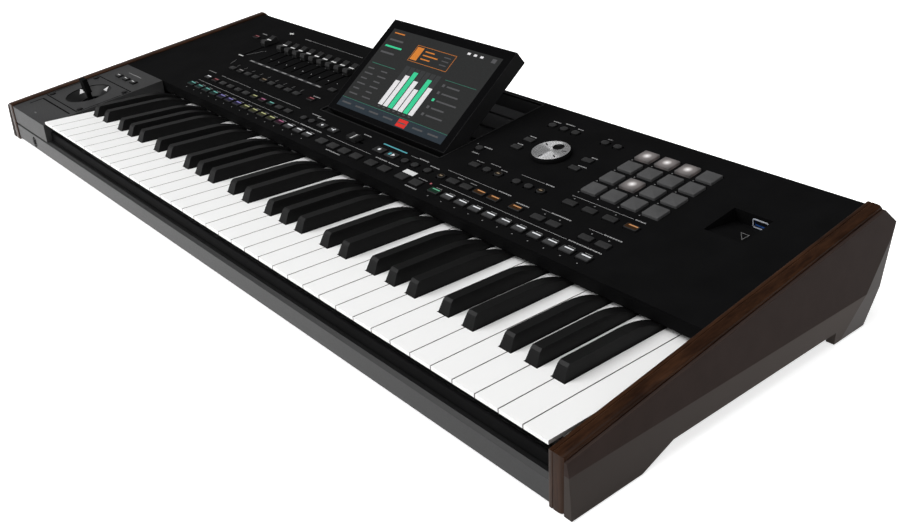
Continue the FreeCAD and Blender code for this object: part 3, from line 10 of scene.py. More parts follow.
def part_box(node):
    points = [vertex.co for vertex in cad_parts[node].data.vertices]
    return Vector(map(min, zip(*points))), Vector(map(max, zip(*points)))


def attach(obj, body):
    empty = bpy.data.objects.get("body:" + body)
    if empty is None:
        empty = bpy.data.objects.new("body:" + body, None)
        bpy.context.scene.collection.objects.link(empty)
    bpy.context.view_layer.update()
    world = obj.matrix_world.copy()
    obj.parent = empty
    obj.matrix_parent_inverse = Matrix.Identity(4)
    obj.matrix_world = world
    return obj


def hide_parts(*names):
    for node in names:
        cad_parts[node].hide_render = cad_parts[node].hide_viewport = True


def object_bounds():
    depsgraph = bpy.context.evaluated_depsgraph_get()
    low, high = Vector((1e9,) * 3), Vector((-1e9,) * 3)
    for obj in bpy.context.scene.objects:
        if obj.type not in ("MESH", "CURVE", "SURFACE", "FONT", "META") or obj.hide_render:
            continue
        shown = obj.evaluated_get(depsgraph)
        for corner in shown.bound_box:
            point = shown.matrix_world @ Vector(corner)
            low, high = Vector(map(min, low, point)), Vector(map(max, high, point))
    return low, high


bl_info = {
    "name": "Arranger keyboard looks",
    "version": (1, 0, 0),
    "blender": (4, 5, 0),
    "location": "View3D > Sidebar > Keyboard",
    "description": "Finishes, caps, lights, print, display picture and stage of an arranger keyboard",
    "category": "Object",
}

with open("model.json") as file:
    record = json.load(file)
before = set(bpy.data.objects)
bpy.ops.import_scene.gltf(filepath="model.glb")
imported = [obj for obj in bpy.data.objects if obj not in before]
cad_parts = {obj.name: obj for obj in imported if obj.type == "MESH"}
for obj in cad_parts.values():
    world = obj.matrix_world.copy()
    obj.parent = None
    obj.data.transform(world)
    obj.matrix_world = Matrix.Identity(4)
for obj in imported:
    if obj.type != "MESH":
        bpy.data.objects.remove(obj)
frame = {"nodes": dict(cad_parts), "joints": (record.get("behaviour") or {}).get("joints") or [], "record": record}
cad_low, cad_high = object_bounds()
joints = {joint["name"]: joint for joint in frame["joints"]}
mounts = {mount["name"]: mount for mount in frame["record"]["mounts"]}

# Tables, planes and new meshes are in millimetres; properties, finishes and what the frame gives are in metres
MM = 0.001
ACROSS = Vector((1.0, 0.0, 0.0))
DOWN = Vector((0.0, 0.0, -1.0))
# Print reaches from just under a surface to just over it
INK_LOW = -0.05
INK_HIGH = 0.08


# Planes that carry pieces

def plane(origin, out, across=ACROSS):
    """Matrix of a plane that faces along out, with its X along across and its Y up the plane."""
    out = Vector(out).normalized()
    turn = Matrix((across, out.cross(across), out)).transposed().to_4x4()
    return Matrix.Translation(origin) @ turn


def reach(node, out):
    """How far a node goes along a direction."""
    return max(vertex.co.dot(out) for vertex in frame["nodes"][node].data.vertices)


def facing(node):
    """Direction of the largest flat side of a node that looks up."""
    areas = {}
    for polygon in frame["nodes"][node].data.polygons:
        if polygon.normal.z > 0:
            key = tuple(round(value, 3) for value in polygon.normal)
            area, normal = areas.get(key, (0.0, polygon.normal.copy()))
            areas[key] = (area + polygon.area, normal)
    return max(areas.values(), key=lambda entry: entry[0])[1]


def panel_plane():
    """Plane of the control panel, with its origin in the middle of the front edge."""
    joint = joints["dial_turn"]
    point = Vector(joint["pos_m"])
    up = plane(point, joint["axis"]).col[1].to_3d()
    origin = point - up * ((point.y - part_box("top_panel")[0].y) / up.y)
    origin.x = 0.0
    return plane(origin, joint["axis"])


def rear_plane():
    """Plane of the rear wall, seen from behind, with its origin on the row of sockets."""
    mount = mounts["rear_jack_1"]
    out = Vector(mount["axis"])
    if out.y < 0:
        out = -out
    point = Vector(mount["pos_m"])
    point += out * (reach("rear_panel", out) - point.dot(out))
    point.x = 0.0
    return plane(point, out, -ACROSS)


def screen_plane():
    """Plane of the display's glass, with its origin above the hinge line."""
    out = facing("display_screen")
    hinge = Vector(joints["display_tilt"]["pos_m"])
    hinge.x = 0.0
    return plane(hinge + out * (reach("display_screen", out) - hinge.dot(out)), out)


PANEL = panel_plane()
REAR = rear_plane()
SCREEN = screen_plane()


def lever_place():
    """Where the joystick's lever stands on the panel's plane."""
    place = PANEL.inverted() @ Vector(joints["joystick_sideways"]["pos_m"]) / MM
    place.z = 0.0
    return place


def solids(node, matrix):
    """Corners of each separate solid of a node in a plane's coordinates, by row and then across."""
    mesh = frame["nodes"][node].data
    seen = {}
    same = [seen.setdefault(tuple(round(value, 6) for value in vertex.co), vertex.index)
            for vertex in mesh.vertices]
    parent = list(range(len(same)))

    def root(index):
        while parent[index] != index:
            parent[index] = parent[parent[index]]
            index = parent[index]
        return index

    for polygon in mesh.polygons:
        first = root(same[polygon.vertices[0]])
        for index in polygon.vertices:
            parent[root(same[index])] = first
    groups = {}
    inverse = matrix.inverted()
    for vertex in mesh.vertices:
        groups.setdefault(root(same[vertex.index]), []).append(inverse @ vertex.co / MM)
    corners = [[Vector(pick(values) for values in zip(*points)) for pick in (min, max)]
               for points in groups.values()]
    return sorted(corners, key=lambda pair: (round(pair[0].y + pair[1].y), pair[0].x))


def rows(corners):
    """Splits sorted solids into rows across the panel."""
    lines = {}
    for low, high in corners:
        lines.setdefault(round(low.y + high.y), []).append((low, high))
    return [lines[key] for key in sorted(lines)]


def top_middle(low, high):
    """Middle of a solid's top."""
    return Vector(((low.x + high.x) / 2, (low.y + high.y) / 2, high.z))


def nodes_named(start):
    """Nodes whose names start with a word."""
    return [name for name in frame["nodes"] if name.startswith(start)]


# Mesh helpers

CIRCLE_STEPS = 28
DOT_STEPS = 12
SCREW_STEPS = 20
LAMP_STEPS = 16
CORNER_STEPS = 5
SMALLEST_CORNER = 0.05
# Edges shorter than this are dissolved
SLIVER = 0.0002
# Screw head in shares of its radius: rings of radius and height, then the recess, a dark cross of painted shade, as
# arm, half width, foot and top
SCREW_DOME = ((1.0, 0.2), (0.72, 0.38))
SCREW_CROSS = (0.5, 0.11, 0.3, 0.4)
# Softened top edge of a cap as shares of drop and inset
CAP_EDGE = ((1.0, 0.0), (0.6, 0.08), (0.25, 0.32), (0.0, 1.0))
# Lengths of the marks in a printed label, and the gap between them
WORD_MARKS = (2.6, 1.7, 3.3, 2.1)
WORD_GAP = 0.55


def vertex_lines(bm, rings):
    """Vertices of each ring of points."""
    return [[bm.verts.new(point) for point in ring_points] for ring_points in rings]


def skin(bm, lower, upper, index=0):
    """Faces between two closed lines of vertices."""
    faces = []
    for here in range(len(lower)):
        after = (here + 1) % len(lower)
        faces.append(bm.faces.new((lower[here], lower[after], upper[after], upper[here])))
        faces[-1].material_index = index
    return faces


def loft(bm, rings, index=0, foot=None):
    """Skins rings of equal count and closes both ends. The first band may have a finish of its own."""
    lines = vertex_lines(bm, rings)
    foot = index if foot is None else foot
    bm.faces.new(lines[0][::-1]).material_index = foot
    bm.faces.new(lines[-1]).material_index = index
    for level, pair in enumerate(zip(lines, lines[1:])):
        skin(bm, *pair, index if level else foot)


def hoop(bm, rings):
    """Skins rings of equal count into a closed hoop."""
    lines = vertex_lines(bm, rings)
    for pair in zip(lines, lines[1:] + lines[:1]):
        skin(bm, *pair)


def outline(low, high, radius, height, inset=0.0):
    """Points of a rounded rectangle, drawn in by inset, at a height."""
    left, right = low[0] + inset, high[0] - inset
    front, rear = low[1] + inset, high[1] - inset
    radius = min(max(radius - inset, SMALLEST_CORNER), (right - left) / 2, (rear - front) / 2)
    points = []
    for quarter, (x, y) in enumerate((
        (right - radius, rear - radius), (left + radius, rear - radius),
        (left + radius, front + radius), (right - radius, front + radius),
    )):
        for step in range(CORNER_STEPS):
            angle = math.radians(90 * (quarter + step / (CORNER_STEPS - 1)))
            points.append((x + radius * math.cos(angle), y + radius * math.sin(angle), height))
    return points


def cap(bm, low, high, radius, edge, side=0):
    """A rounded cap with a softened top edge, whose sides may have a finish of their own, such as painted shade."""
    loft(bm, [outline(low, high, radius, low[2])] + [
        outline(low, high, radius, high[2] - edge * drop, edge * inset) for drop, inset in CAP_EDGE], 0, side)


def plate(bm, points, low=INK_LOW, high=INK_HIGH, index=0):
    """A thin plate over an outline, whose points lie flat or at heights of their own."""
    loft(bm, [[Vector(point).to_3d() + Vector((0.0, 0.0, height)) for point in points]
              for height in (low, high)], index)


def slab(bm, left, right, front, rear, low=INK_LOW, high=INK_HIGH, index=0):
    """A thin flat block."""
    plate(bm, ((left, front), (right, front), (right, rear), (left, rear)), low, high, index)


def circle(x, y, radius, height, steps=CIRCLE_STEPS):
    """Points of a circle at a height."""
    angles = [math.tau * step / steps for step in range(steps)]
    return [(x + radius * math.cos(angle), y + radius * math.sin(angle), height) for angle in angles]


def turned(bm, x, y, profile, index, steps):
    """A turned piece from pairs of radius and height."""
    loft(bm, [circle(x, y, *pair, steps) for pair in profile], index)


def ring(bm, x, y, inner, outer, high=INK_HIGH):
    """A flat ring round a point of a plane."""
    hoop(bm, [circle(x, y, *pair) for pair in (
        (inner, INK_LOW), (outer, INK_LOW), (outer, high), (inner, high))])


def dot(bm, x, y, radius, index):
    """A printed dot."""
    turned(bm, x, y, ((radius, INK_LOW), (radius, INK_HIGH)), index, DOT_STEPS)


def screw(bm, x, y, radius, head, slot):
    """A domed screw head with a crossed recess drawn as a dark cross of painted shade."""
    dome = [(radius * across, radius * height) for across, height in SCREW_DOME]
    turned(bm, x, y, [(radius, INK_LOW)] + dome, head, SCREW_STEPS)
    arm, wide, foot, top = (radius * share for share in SCREW_CROSS)
    for across, along in ((arm, wide), (wide, arm)):
        slab(bm, x - across, x + across, y - along, y + along, foot, top, slot)


def words(bm, left, right, front, rear, index=0):
    """A row of short printed marks that stands for a label."""
    count = 0
    while left < right - WORD_GAP:
        end = min(left + WORD_MARKS[count % len(WORD_MARKS)], right)
        slab(bm, left, end, front, rear, index=index)
        left = end + WORD_GAP
        count += 1


def piece(name, bm, finishes, matrix, body, replaces=(), sharp=35.0):
    """Makes an object of a mesh in millimetres, in place on a plane, and lets it ride on a body."""
    bmesh.ops.dissolve_degenerate(bm, dist=SLIVER, edges=bm.edges[:])
    bmesh.ops.recalc_face_normals(bm, faces=bm.faces)
    bmesh.ops.scale(bm, vec=(MM, MM, MM), verts=bm.verts)
    mesh = bpy.data.meshes.new(name)
    bm.to_mesh(mesh)
    bm.free()
    mesh.polygons.foreach_set("use_smooth", [True] * len(mesh.polygons))
    mesh.set_sharp_from_angle(angle=math.radians(sharp))
    for label in finishes:
        mesh.materials.append(finish(label))
    made = bpy.data.objects.new(name, mesh)
    bpy.context.scene.collection.objects.link(made)
    made.matrix_world = matrix
    bpy.context.view_layer.update()
    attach(made, body)
    if replaces:
        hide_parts(*replaces)


def dress(node, label, edge=0.0):
    """Gives a CAD node its finish and, where an edge is named, rounded edges."""
    shown = frame["nodes"][node]
    shown.data.materials.clear()
    shown.data.materials.append(finish(label))
    if edge:
        for name, kind, settings in (
            ("Weld", "WELD", {"merge_threshold": 0.002 * MM}),
            ("Flat", "DECIMATE", {"decimate_type": "DISSOLVE", "angle_limit": math.radians(0.6)}),
            ("Edge", "BEVEL", {"width": edge, "segments": 3, "limit_method": "ANGLE",
                               "angle_limit": math.radians(32.0)}),
            ("Normal", "WEIGHTED_NORMAL", {"keep_sharp": True}),
        ):
            modifier = shown.modifiers.new(name, kind)
            for key, value in settings.items():
                setattr(modifier, key, value)


# Finishes

class Finish:
    """A node material with short calls for its nodes and links."""

    def __init__(self, label):
        self.material = bpy.data.materials.new(label)
        self.material.use_nodes = True
        self.tree = self.material.node_tree
        self.shader = self.tree.nodes["Principled BSDF"]
        self.place = self.node("TexCoord").outputs["Object"]

    def feed(self, socket, value):
        """Gives a socket a value, or links it to the socket that feeds it."""
        if isinstance(value, bpy.types.NodeSocket):
            self.tree.links.new(value, socket)
        else:
            socket.default_value = value

    def node(self, kind, inputs=(), **settings):
        """A node with its settings, and with its sockets fed by name or number."""
        made = self.tree.nodes.new("ShaderNode" + kind)
        for key, value in settings.items():
            setattr(made, key, value)
        for key, value in dict(inputs).items():
            self.feed(made.inputs[key], value)
        return made

    def set(self, **values):
        """Feeds the shader's own sockets."""
        for key, value in values.items():
            self.feed(self.shader.inputs[key.replace("_", " ")], value)

    def math(self, operation, *values):
        """A number worked out from others."""
        return self.node("Math", dict(enumerate(values)), operation=operation).outputs["Value"]

    def measure(self, operation, vector):
        """A number from the place on the surface and another vector."""
        return self.node("VectorMath", {0: self.place, 1: vector}, operation=operation).outputs["Value"]

    def part(self, vector, axis):
        """One part of a vector."""
        return self.node("SeparateXYZ", {"Vector": vector}).outputs[axis]

    def normal(self):
        """Direction in which the surface faces."""
        return self.node("NewGeometry").outputs["Normal"]

    def stretched(self, stretch):
        """The place on the surface, stretched along its axes."""
        return self.node("Mapping", {"Vector": self.place, "Scale": stretch}).outputs["Vector"]

    def noise(self, scale, detail=4.0, distortion=0.0, vector=None):
        """A soft noise over the surface."""
        return self.node("TexNoise", {"Vector": vector or self.place, "Scale": scale, "Detail": detail,
                                      "Distortion": distortion}).outputs["Fac"]

    def ramp(self, factor, stops):
        """A colour that follows a number through pairs of position and colour."""
        made = self.node("ValToRGB", {"Fac": factor})
        elements = made.color_ramp.elements
        while len(elements) < len(stops):
            elements.new(0.5)
        for element, (position, colour) in zip(elements, stops):
            element.position = position
            element.color = (*colour, 1.0)
        return made.outputs["Color"]

    def mottle(self, factor, colour, low, high):
        """A colour that goes from one shade of itself to another."""
        return self.ramp(factor, ((0.3, shade(colour, low)), (0.7, shade(colour, high))))

    def share(self, value, start, end, low=0.0, high=1.0):
        """How far a value is from start to end, from low to high."""
        return self.node("MapRange", {"Value": value, "From Min": start, "From Max": end,
                                      "To Min": low, "To Max": high}).outputs["Result"]

    def spread(self, factor, low, high):
        """A noise's middle range, spread from low to high."""
        return self.share(factor, 0.3, 0.7, low, high)

    def mix(self, factor, one, other, kind="RGBA"):
        """Two colours, vectors or numbers, mixed by a number."""
        return self.node("Mix", {"Factor": factor, "A": one, "B": other}, data_type=kind).outputs["Result"]

    def relief(self, factor, strength, distance=0.3 * MM):
        """Lets a number raise the surface a little."""
        made = self.node("Bump", {"Height": factor, "Strength": strength, "Distance": distance})
        self.set(Normal=made.outputs["Normal"])

    def grain(self, rough, relief, scale=900.0, vector=None):
        """A fine grain in the roughness and the relief."""
        fine = self.noise(scale, 2.0, vector=vector)
        self.set(Roughness=self.spread(fine, *rough))
        if relief:
            self.relief(fine, relief)


def shade(colour, factor):
    """A colour made darker or lighter."""
    return tuple(min(value * factor, 1.0) for value in colour)


# Rear bevel of the side panels, paler by painted light: the slope along which it is measured, and half the width of
# its line
BEVEL_SLOPE = (0.0, 1.0, -0.92)
FACET_LINE = 0.4 * MM
# Joystick's dish, darkened inside by painted shade, and the width of its edge, then the pads that glow, and how far
# and in which tones they do
DISH_RADIUS = 27.6
DISH_EDGE = 0.8
LIT_PADS = (5, 12, 13, 14)
PAD_GLOW_REACH = 13.0
PAD_GLOW = (
    (0.0, (0.93, 0.92, 0.92)), (0.14, (0.62, 0.59, 0.58)), (0.36, (0.16, 0.14, 0.135)),
    (0.74, (0.034, 0.026, 0.024)), (1.0, (0.0, 0.0, 0.0)),
)
LIGHTS = {
    "light_white": (0.64, 0.65, 0.67), "light_aqua": (0.13, 0.36, 0.32), "light_violet": (0.20, 0.18, 0.43),
    "light_yellow": (0.41, 0.42, 0.21), "light_rose": (0.32, 0.11, 0.20), "light_green": (0.11, 0.34, 0.21),
    "light_red": (0.28, 0.085, 0.095), "light_orange": (0.45, 0.215, 0.09), "light_amber": (0.20, 0.155, 0.105),
    "light_cyan": (0.075, 0.29, 0.33), "light_dim": (0.22, 0.21, 0.21),
}
# Share of a light's colour painted as a glow on the cap around it, and that glow's inset as a share of the cap's edge
GLIMMER = 0.066
GLIMMER_INSET = 1.2
PICTURE = {
    "ui_back": (0.022, 0.0225, 0.0225), "ui_tile": (0.034, 0.035, 0.036), "ui_slate": (0.022, 0.030, 0.038),
    "ui_orange": (0.52, 0.17, 0.03), "ui_green": (0.04, 0.48, 0.24), "ui_white": (0.62, 0.61, 0.62),
    "ui_red": (0.56, 0.03, 0.024), "ui_grey": (0.072, 0.072, 0.075), "ui_teal": (0.035, 0.16, 0.11),
}
PICTURE_STRENGTH = 0.9


def coated(label, colour, rough, relief, specular, spread=0.12, grain=900.0, metallic=0.0, stretch=None):
    """Moulded, painted or cast surface with a slight mottle and a fine grain."""
    made = Finish(label)
    vector = made.stretched(stretch) if stretch else made.place
    cloud = made.noise(grain * 0.04, vector=vector)
    made.grain(rough, relief, grain, vector)
    made.set(Base_Color=made.mottle(cloud, colour, 1.0 - spread, 1.0 + spread),
             Specular_IOR_Level=specular, Metallic=metallic)
    return made.material


def wood(label, light, dark):
    """Lacquered board with its grain along the case, and upright on the front."""
    made = Finish(label)
    front = made.math("LESS_THAN", made.part(made.normal(), "Y"), -0.75)
    vector = made.mix(front, made.stretched((70.0, 5.0, 70.0)), made.stretched((70.0, 70.0, 7.0)), "VECTOR")
    grain = made.mix(0.35, made.noise(1.6, 6.0, 0.6, vector), made.noise(9.0, 3.0, vector=vector), "FLOAT")
    middle = tuple((a + b) / 2 for a, b in zip(light, dark))
    made.relief(grain, 0.08, 0.2 * MM)
    made.set(Base_Color=made.ramp(grain, ((0.36, dark), (0.5, middle), (0.64, light))),
             Roughness=made.spread(grain, 0.34, 0.26), Coat_Weight=0.06, Coat_Roughness=0.2,
             Specular_IOR_Level=0.06)
    return made.material


def key_coat_shaded_sides(label, colour, side):
    """Gloss key plastic, darkened by painted shade on the sides between the keys."""
    made = Finish(label)
    cloud = made.noise(20.0)
    # Painted shade: faces turned sideways take the darker side tone
    sideways = made.share(made.math("ABSOLUTE", made.part(made.normal(), "X")), 0.45, 0.8)
    tones = (made.mottle(cloud, tone, 0.985, 1.0) for tone in (colour, side))
    made.set(Base_Color=made.mix(sideways, *tones), Roughness=made.spread(cloud, 0.30, 0.32))
    return made.material


def side_coat_painted_light(label, case):
    """Grained paint, with painted light making it paler below the crease and on the rear bevel, more so towards the
    rear.
    """
    made = Finish(label)
    along = made.share(made.part(made.place, "Y"), cad_low.y, cad_high.y)
    shown = made.mottle(made.noise(60.0), case.side_colour, 0.93, 1.07)
    # Painted light: the facet below the crease and the rear bevel take lighter tones, darker at the front and paler
    # at the rear
    for source, start, end, colour in (
        (made.part(made.place, "Z"), case.crease + FACET_LINE, case.crease - FACET_LINE, case.side_low_painted_light),
        (made.measure("DOT_PRODUCT", BEVEL_SLOPE), case.bevel - FACET_LINE, case.bevel + FACET_LINE,
         case.side_rear_painted_light),
    ):
        tone = made.ramp(along, ((0.0, shade(colour, 0.62)), (1.0, shade(colour, 1.25))))
        shown = made.mix(made.share(source, start, end), shown, tone)
    made.grain((0.42, 0.52), 0.1, 1500.0)
    made.set(Base_Color=shown, Specular_IOR_Level=0.025)
    return made.material


def dish_painted_shade(label, colour, inner):
    """Moulded plastic, darkened by painted shade inside the joystick's dish."""
    made = Finish(label)
    away = made.measure("DISTANCE", PANEL @ (lever_place() * MM))
    # Painted shade: the inside of the dish takes the darker tone
    inside = made.share(away, DISH_RADIUS * MM, (DISH_RADIUS - DISH_EDGE) * MM)
    cloud = made.noise(36.0)
    tones = (made.mottle(cloud, tone, 0.9, 1.1) for tone in (colour, inner))
    made.grain((0.42, 0.5), 0.05)
    made.set(Base_Color=made.mix(inside, *tones), Specular_IOR_Level=0.2)
    return made.material


def spun(label, colour):
    """Spun metal with fine rings round its middle."""
    made = Finish(label)
    rings = made.node("TexWave", {"Vector": made.place, "Scale": 900.0, "Distortion": 0.1, "Detail": 0.0},
                      wave_type="RINGS", rings_direction="Z").outputs["Fac"]
    tangent = made.node("Tangent", direction_type="RADIAL", axis="Z").outputs["Tangent"]
    made.set(Base_Color=made.ramp(rings, ((0.2, shade(colour, 0.9)), (0.8, colour))),
             Roughness=made.spread(rings, 0.27, 0.31), Tangent=tangent, Metallic=0.88, Anisotropic=1.0,
             Anisotropic_Rotation=0.25)
    return made.material


def glowing(label, colour, strength=1.0):
    """Lit plastic, a little brighter in places."""
    made = Finish(label)
    cloud = made.noise(500.0)
    made.set(Emission_Color=made.mottle(cloud, colour, 0.86, 1.0), Base_Color=made.mottle(cloud, colour, 0.3, 0.4),
             Emission_Strength=strength, Roughness=0.5, Specular_IOR_Level=0.02)
    return made.material


def lit_pads(label, colour):
    """Pad rubber that glows round the middle of each lit pad."""
    made = Finish(label)
    corners = solids("chord_pads", PANEL)
    nearest = None
    for count in LIT_PADS:
        away = made.measure("DISTANCE", top_middle(*corners[count]) * MM)
        nearest = made.math("MINIMUM", nearest, away) if nearest else away
    glow = made.ramp(made.math("DIVIDE", nearest, PAD_GLOW_REACH * MM), PAD_GLOW)
    made.grain((0.5, 0.6), 0.05)
    made.set(Base_Color=made.mottle(made.noise(60.0), colour, 0.9, 1.1), Emission_Color=glow,
             Emission_Strength=1.0, Specular_IOR_Level=0.25)
    return made.material


def finish(label):
    """The material of a name, made on first use."""
    return bpy.data.materials.get(label) or make_finish(label)


def make_finish(label):
    """Makes the material of a name from the colours in the sidebar."""
    case = bpy.context.scene.keyboard_case
    keys = bpy.context.scene.keyboard_keys
    controls = bpy.context.scene.keyboard_controls
    if label in LIGHTS:
        return glowing(label, LIGHTS[label])
    if label.startswith("glimmer"):
        return glowing(label, shade(LIGHTS[label.replace("glimmer", "light")], GLIMMER))
    if label in PICTURE:
        return glowing(label, PICTURE[label], PICTURE_STRENGTH)
    special = {
        "board_wood": (wood, case.wood_light, case.wood_dark),
        # White keys with painted shade on their sides
        "key_white": (key_coat_shaded_sides, keys.white_colour, keys.side_colour),
        # Side paint with painted light on the lower facets and rear bevels
        "side_paint": (side_coat_painted_light, case),
        "plate_grey": (dish_painted_shade, case.block_colour, shade(case.block_colour, 0.18)),
        "pad_grey": (lit_pads, controls.pad_colour),
        "spun_metal": (spun, controls.dial_colour),
    }
    if label in special:
        make, *colours = special[label]
        return make(label, *colours)
    # Colour, range of roughness, relief and specular level, then mottle, grain, metal and stretch where they differ
    plain = {
        "panel_black": (case.panel_colour, (0.60, 0.70), 0.03, 0.01),
        "block_grey": (case.block_colour, (0.42, 0.50), 0.05, 0.25),
        "rail_grey": (case.rail_colour, (0.34, 0.42), 0.03, 0.23),
        "case_black": (case.panel_colour, (0.55, 0.65), 0.03, 0.015),
        "housing_black": (shade(case.panel_colour, 2.6), (0.5, 0.6), 0.04, 0.03),
        # Painted light: the well's black is lifted far above the panel's to stand in for highlights in the display's
        # shadow
        "well_black": (shade(case.panel_colour, 8.0), (0.45, 0.55), 0.04, 0.1),
        "rim_grey": (shade(case.block_colour, 0.4), (0.4, 0.5), 0.03, 0.1),
        "rear_black": (shade(case.panel_colour, 1.6), (0.5, 0.62), 0.12, 0.5, 0.12, 1600.0),
        "key_black": (keys.black_colour, (0.38, 0.44), 0.02, 0.14),
        "felt_dark": ((0.03, 0.008, 0.008), (0.85, 0.95), 0.6, 0.5, 0.12, 2200.0),
        "zinc_steel": ((0.52, 0.53, 0.54), (0.34, 0.5), 0.04, 0.5, 0.2, 900.0, 1.0),
        "board_green": ((0.003, 0.011, 0.006), (0.4, 0.5), 0.04, 0.1, 0.25),
        "rubber_black": ((0.018, 0.018, 0.018), (0.7, 0.8), 0.1, 0.5),
        "glass_black": ((0.0025, 0.0025, 0.0028), (0.10, 0.16), 0.0, 0.06),
        "cap_grey": (controls.cap_colour, (0.42, 0.52), 0.03, 0.1),
        # Painted shade: the darker sides of the button caps
        "cap_side": (shade(controls.cap_colour, 0.35), (0.42, 0.52), 0.03, 0.06),
        "fader_black": (shade(controls.cap_colour, 0.6), (0.4, 0.5), 0.05, 0.15),
        "acetal_dark": ((0.02, 0.02, 0.021), (0.35, 0.45), 0.04, 0.2),
        "socket_black": ((0.007, 0.007, 0.0075), (0.4, 0.5), 0.04, 0.1),
        "screw_black": ((0.007, 0.007, 0.0075), (0.35, 0.45), 0.04, 0.15),
        # Painted shade for the dark hollow of the dial's dimple
        "dimple_metal": (shade(controls.dial_colour, 0.03), (0.2, 0.26), 0.0, 0.5, 0.12, 900.0, 1.0),
        "strip_grey": ((0.045, 0.045, 0.047), (0.4, 0.5), 0.04, 0.1, 0.12, 900.0, 0.0, (0.2, 6.0, 1.0)),
        "port_pale": ((0.34, 0.36, 0.40), (0.3, 0.4), 0.02, 0.5),
        "ink_white": (controls.ink_colour, (0.5, 0.6), 0.0, 0.5, 0.05),
        "ink_soft": (shade(controls.ink_colour, 0.42), (0.5, 0.6), 0.0, 0.5),
        "ink_grey": (shade(controls.ink_colour, 0.28), (0.5, 0.6), 0.0, 0.5),
        "tongue_blue": ((0.02, 0.11, 0.45), (0.3, 0.4), 0.04, 0.5),
        # Painted shade: dark slabs in place of the shade in slots, recesses, notches and gaps
        "slot_dark": ((0.004, 0.004, 0.004), (0.8, 0.9), 0.04, 0.02),
    }
    return coated(label, *plain[label])


# Sizes and colours that a user would change

def length(label, text, default):
    """A length property in metres."""
    return FloatProperty(name=label, description=text, default=default, min=0.0, unit="LENGTH", precision=5)


def tint(label, text, default):
    """A colour property."""
    return FloatVectorProperty(name=label, description=text, default=default, size=3, min=0.0, max=1.0,
                               subtype="COLOR")


def power(label, text, default):
    """A lamp's power."""
    return FloatProperty(name=label, description=text, default=default, unit="POWER")


def angle(label, text, degrees):
    """An angle property."""
    return FloatProperty(name=label, description=text, default=math.radians(degrees), subtype="ANGLE")


class KEYBOARD_PG_case(bpy.types.PropertyGroup):
    """Colours and edges of the case."""
    wood_light: tint("Light wood", "Lightest streaks of the end boards", (0.044, 0.0184, 0.0084))
    wood_dark: tint("Dark wood", "Darkest streaks of the end boards", (0.0135, 0.0052, 0.0024))
    side_colour: tint("Side panels", "Paint of the outer side panels", (0.034, 0.0235, 0.0205))
    # Painted light: the paler tones below the crease and on the rear bevels stand in for light from the floor and the
    # lamps
    side_low_painted_light: tint("Side facets", "Paint of the side panels below the crease", (0.082, 0.069, 0.063))
    side_rear_painted_light: tint("Side bevels", "Paint of the side panels' rear bevels", (0.122, 0.113, 0.110))
    crease: length("Crease", "Height of the side panels' crease", 0.0330)
    bevel: length("Bevel", "Place of the side panels' rear bevel along its slope", 0.1158)
    panel_colour: tint("Panel", "Black of the control panel", (0.0050, 0.0050, 0.0052))
    block_colour: tint("Controller block", "Grey of the block beside the keys", (0.032, 0.032, 0.0327))
    rail_colour: tint("Front rail", "Grey of the lower front rail", (0.0098, 0.0098, 0.0101))
    edge: length("Edge", "Rounding of the case's edges", 0.0010)
    side_edge: length("Side edge", "Rounding of the side panels' edges", 0.0022)


class KEYBOARD_PG_keys(bpy.types.PropertyGroup):
    """Colours and edges of the keys."""
    # Painted shade on the white keys' sides, where the neighbouring keys shade them
    side_colour: tint("Key sides", "Tone of the white keys' sides", (0.30, 0.29, 0.28))
    white_colour: tint("White keys", "Colour of the white keys", (0.91, 0.91, 0.905))
    black_colour: tint("Black keys", "Colour of the black keys", (0.0045, 0.0045, 0.0046))
    white_edge: length("White key edge", "Rounding of the white keys", 0.0008)
    black_edge: length("Black key edge", "Rounding of the black keys", 0.0013)


class KEYBOARD_PG_controls(bpy.types.PropertyGroup):
    """Colours and sizes of the controls and their print."""
    cap_colour: tint("Caps", "Grey of the button caps", (0.023, 0.023, 0.0234))
    pad_colour: tint("Pads", "Grey of the pads", (0.062, 0.062, 0.063))
    dial_colour: tint("Dial", "Metal of the dial", (0.90, 0.90, 0.91))
    ink_colour: tint("Print", "Printed marks on the panel", (0.62, 0.62, 0.62))
    cap_round: length("Cap corner", "Corner radius of the caps", 0.0012)
    cap_edge: length("Cap edge", "Softened top edge of the caps", 0.0007)
    pad_round: length("Pad corner", "Corner radius of the pads", 0.0010)
    pad_edge: length("Pad edge", "Softened top edge of the pads", 0.0007)
    light_depth: length("Light depth", "Front to back size of a cap's light", 0.0013)
    label_depth: length("Label depth", "Height of a label's marks", 0.0010)
    line_depth: length("Line depth", "Thickness of printed lines", 0.0004)


class KEYBOARD_PG_screen(bpy.types.PropertyGroup):
    """Borders of the display's picture."""
    left: length("Left border", "Glass left of the picture", 0.0100)
    right: length("Right border", "Glass right of the picture", 0.0110)
    front: length("Lower border", "Glass below the picture", 0.0066)
    rear: length("Upper border", "Glass above the picture", 0.0110)


class KEYBOARD_PG_stage(bpy.types.PropertyGroup):
    """Floor, lamps and camera."""
    floor_colour: tint("Floor", "Pale floor", (0.86, 0.86, 0.86))
    key_power: power("Key lamp", "Power of the key lamp", 78.0)
    fill_power: power("Fill lamp", "Power of the fill lamp", 8.0)
    top_power: power("Top lamp", "Power of the top lamp", 41.0)
    lens: FloatProperty(name="Lens", description="Focal length in millimetres", default=39.656, unit="CAMERA")
    camera_place: FloatVectorProperty(name="Camera place", description="Where the camera stands",
                                      default=(0.8299, -0.5247, 0.4203), size=3, subtype="TRANSLATION")
    camera_heading: angle("Heading", "Camera turn about Z", 46.51)
    camera_pitch: angle("Pitch", "Camera tilt about X", 63.67)
    camera_roll: angle("Roll", "Camera roll", -0.506)
    shift: FloatVectorProperty(name="Shift", description="Shift of the picture", default=(-0.10404, -0.0142), size=2)


# Case: rings of an end board as place across it and inset

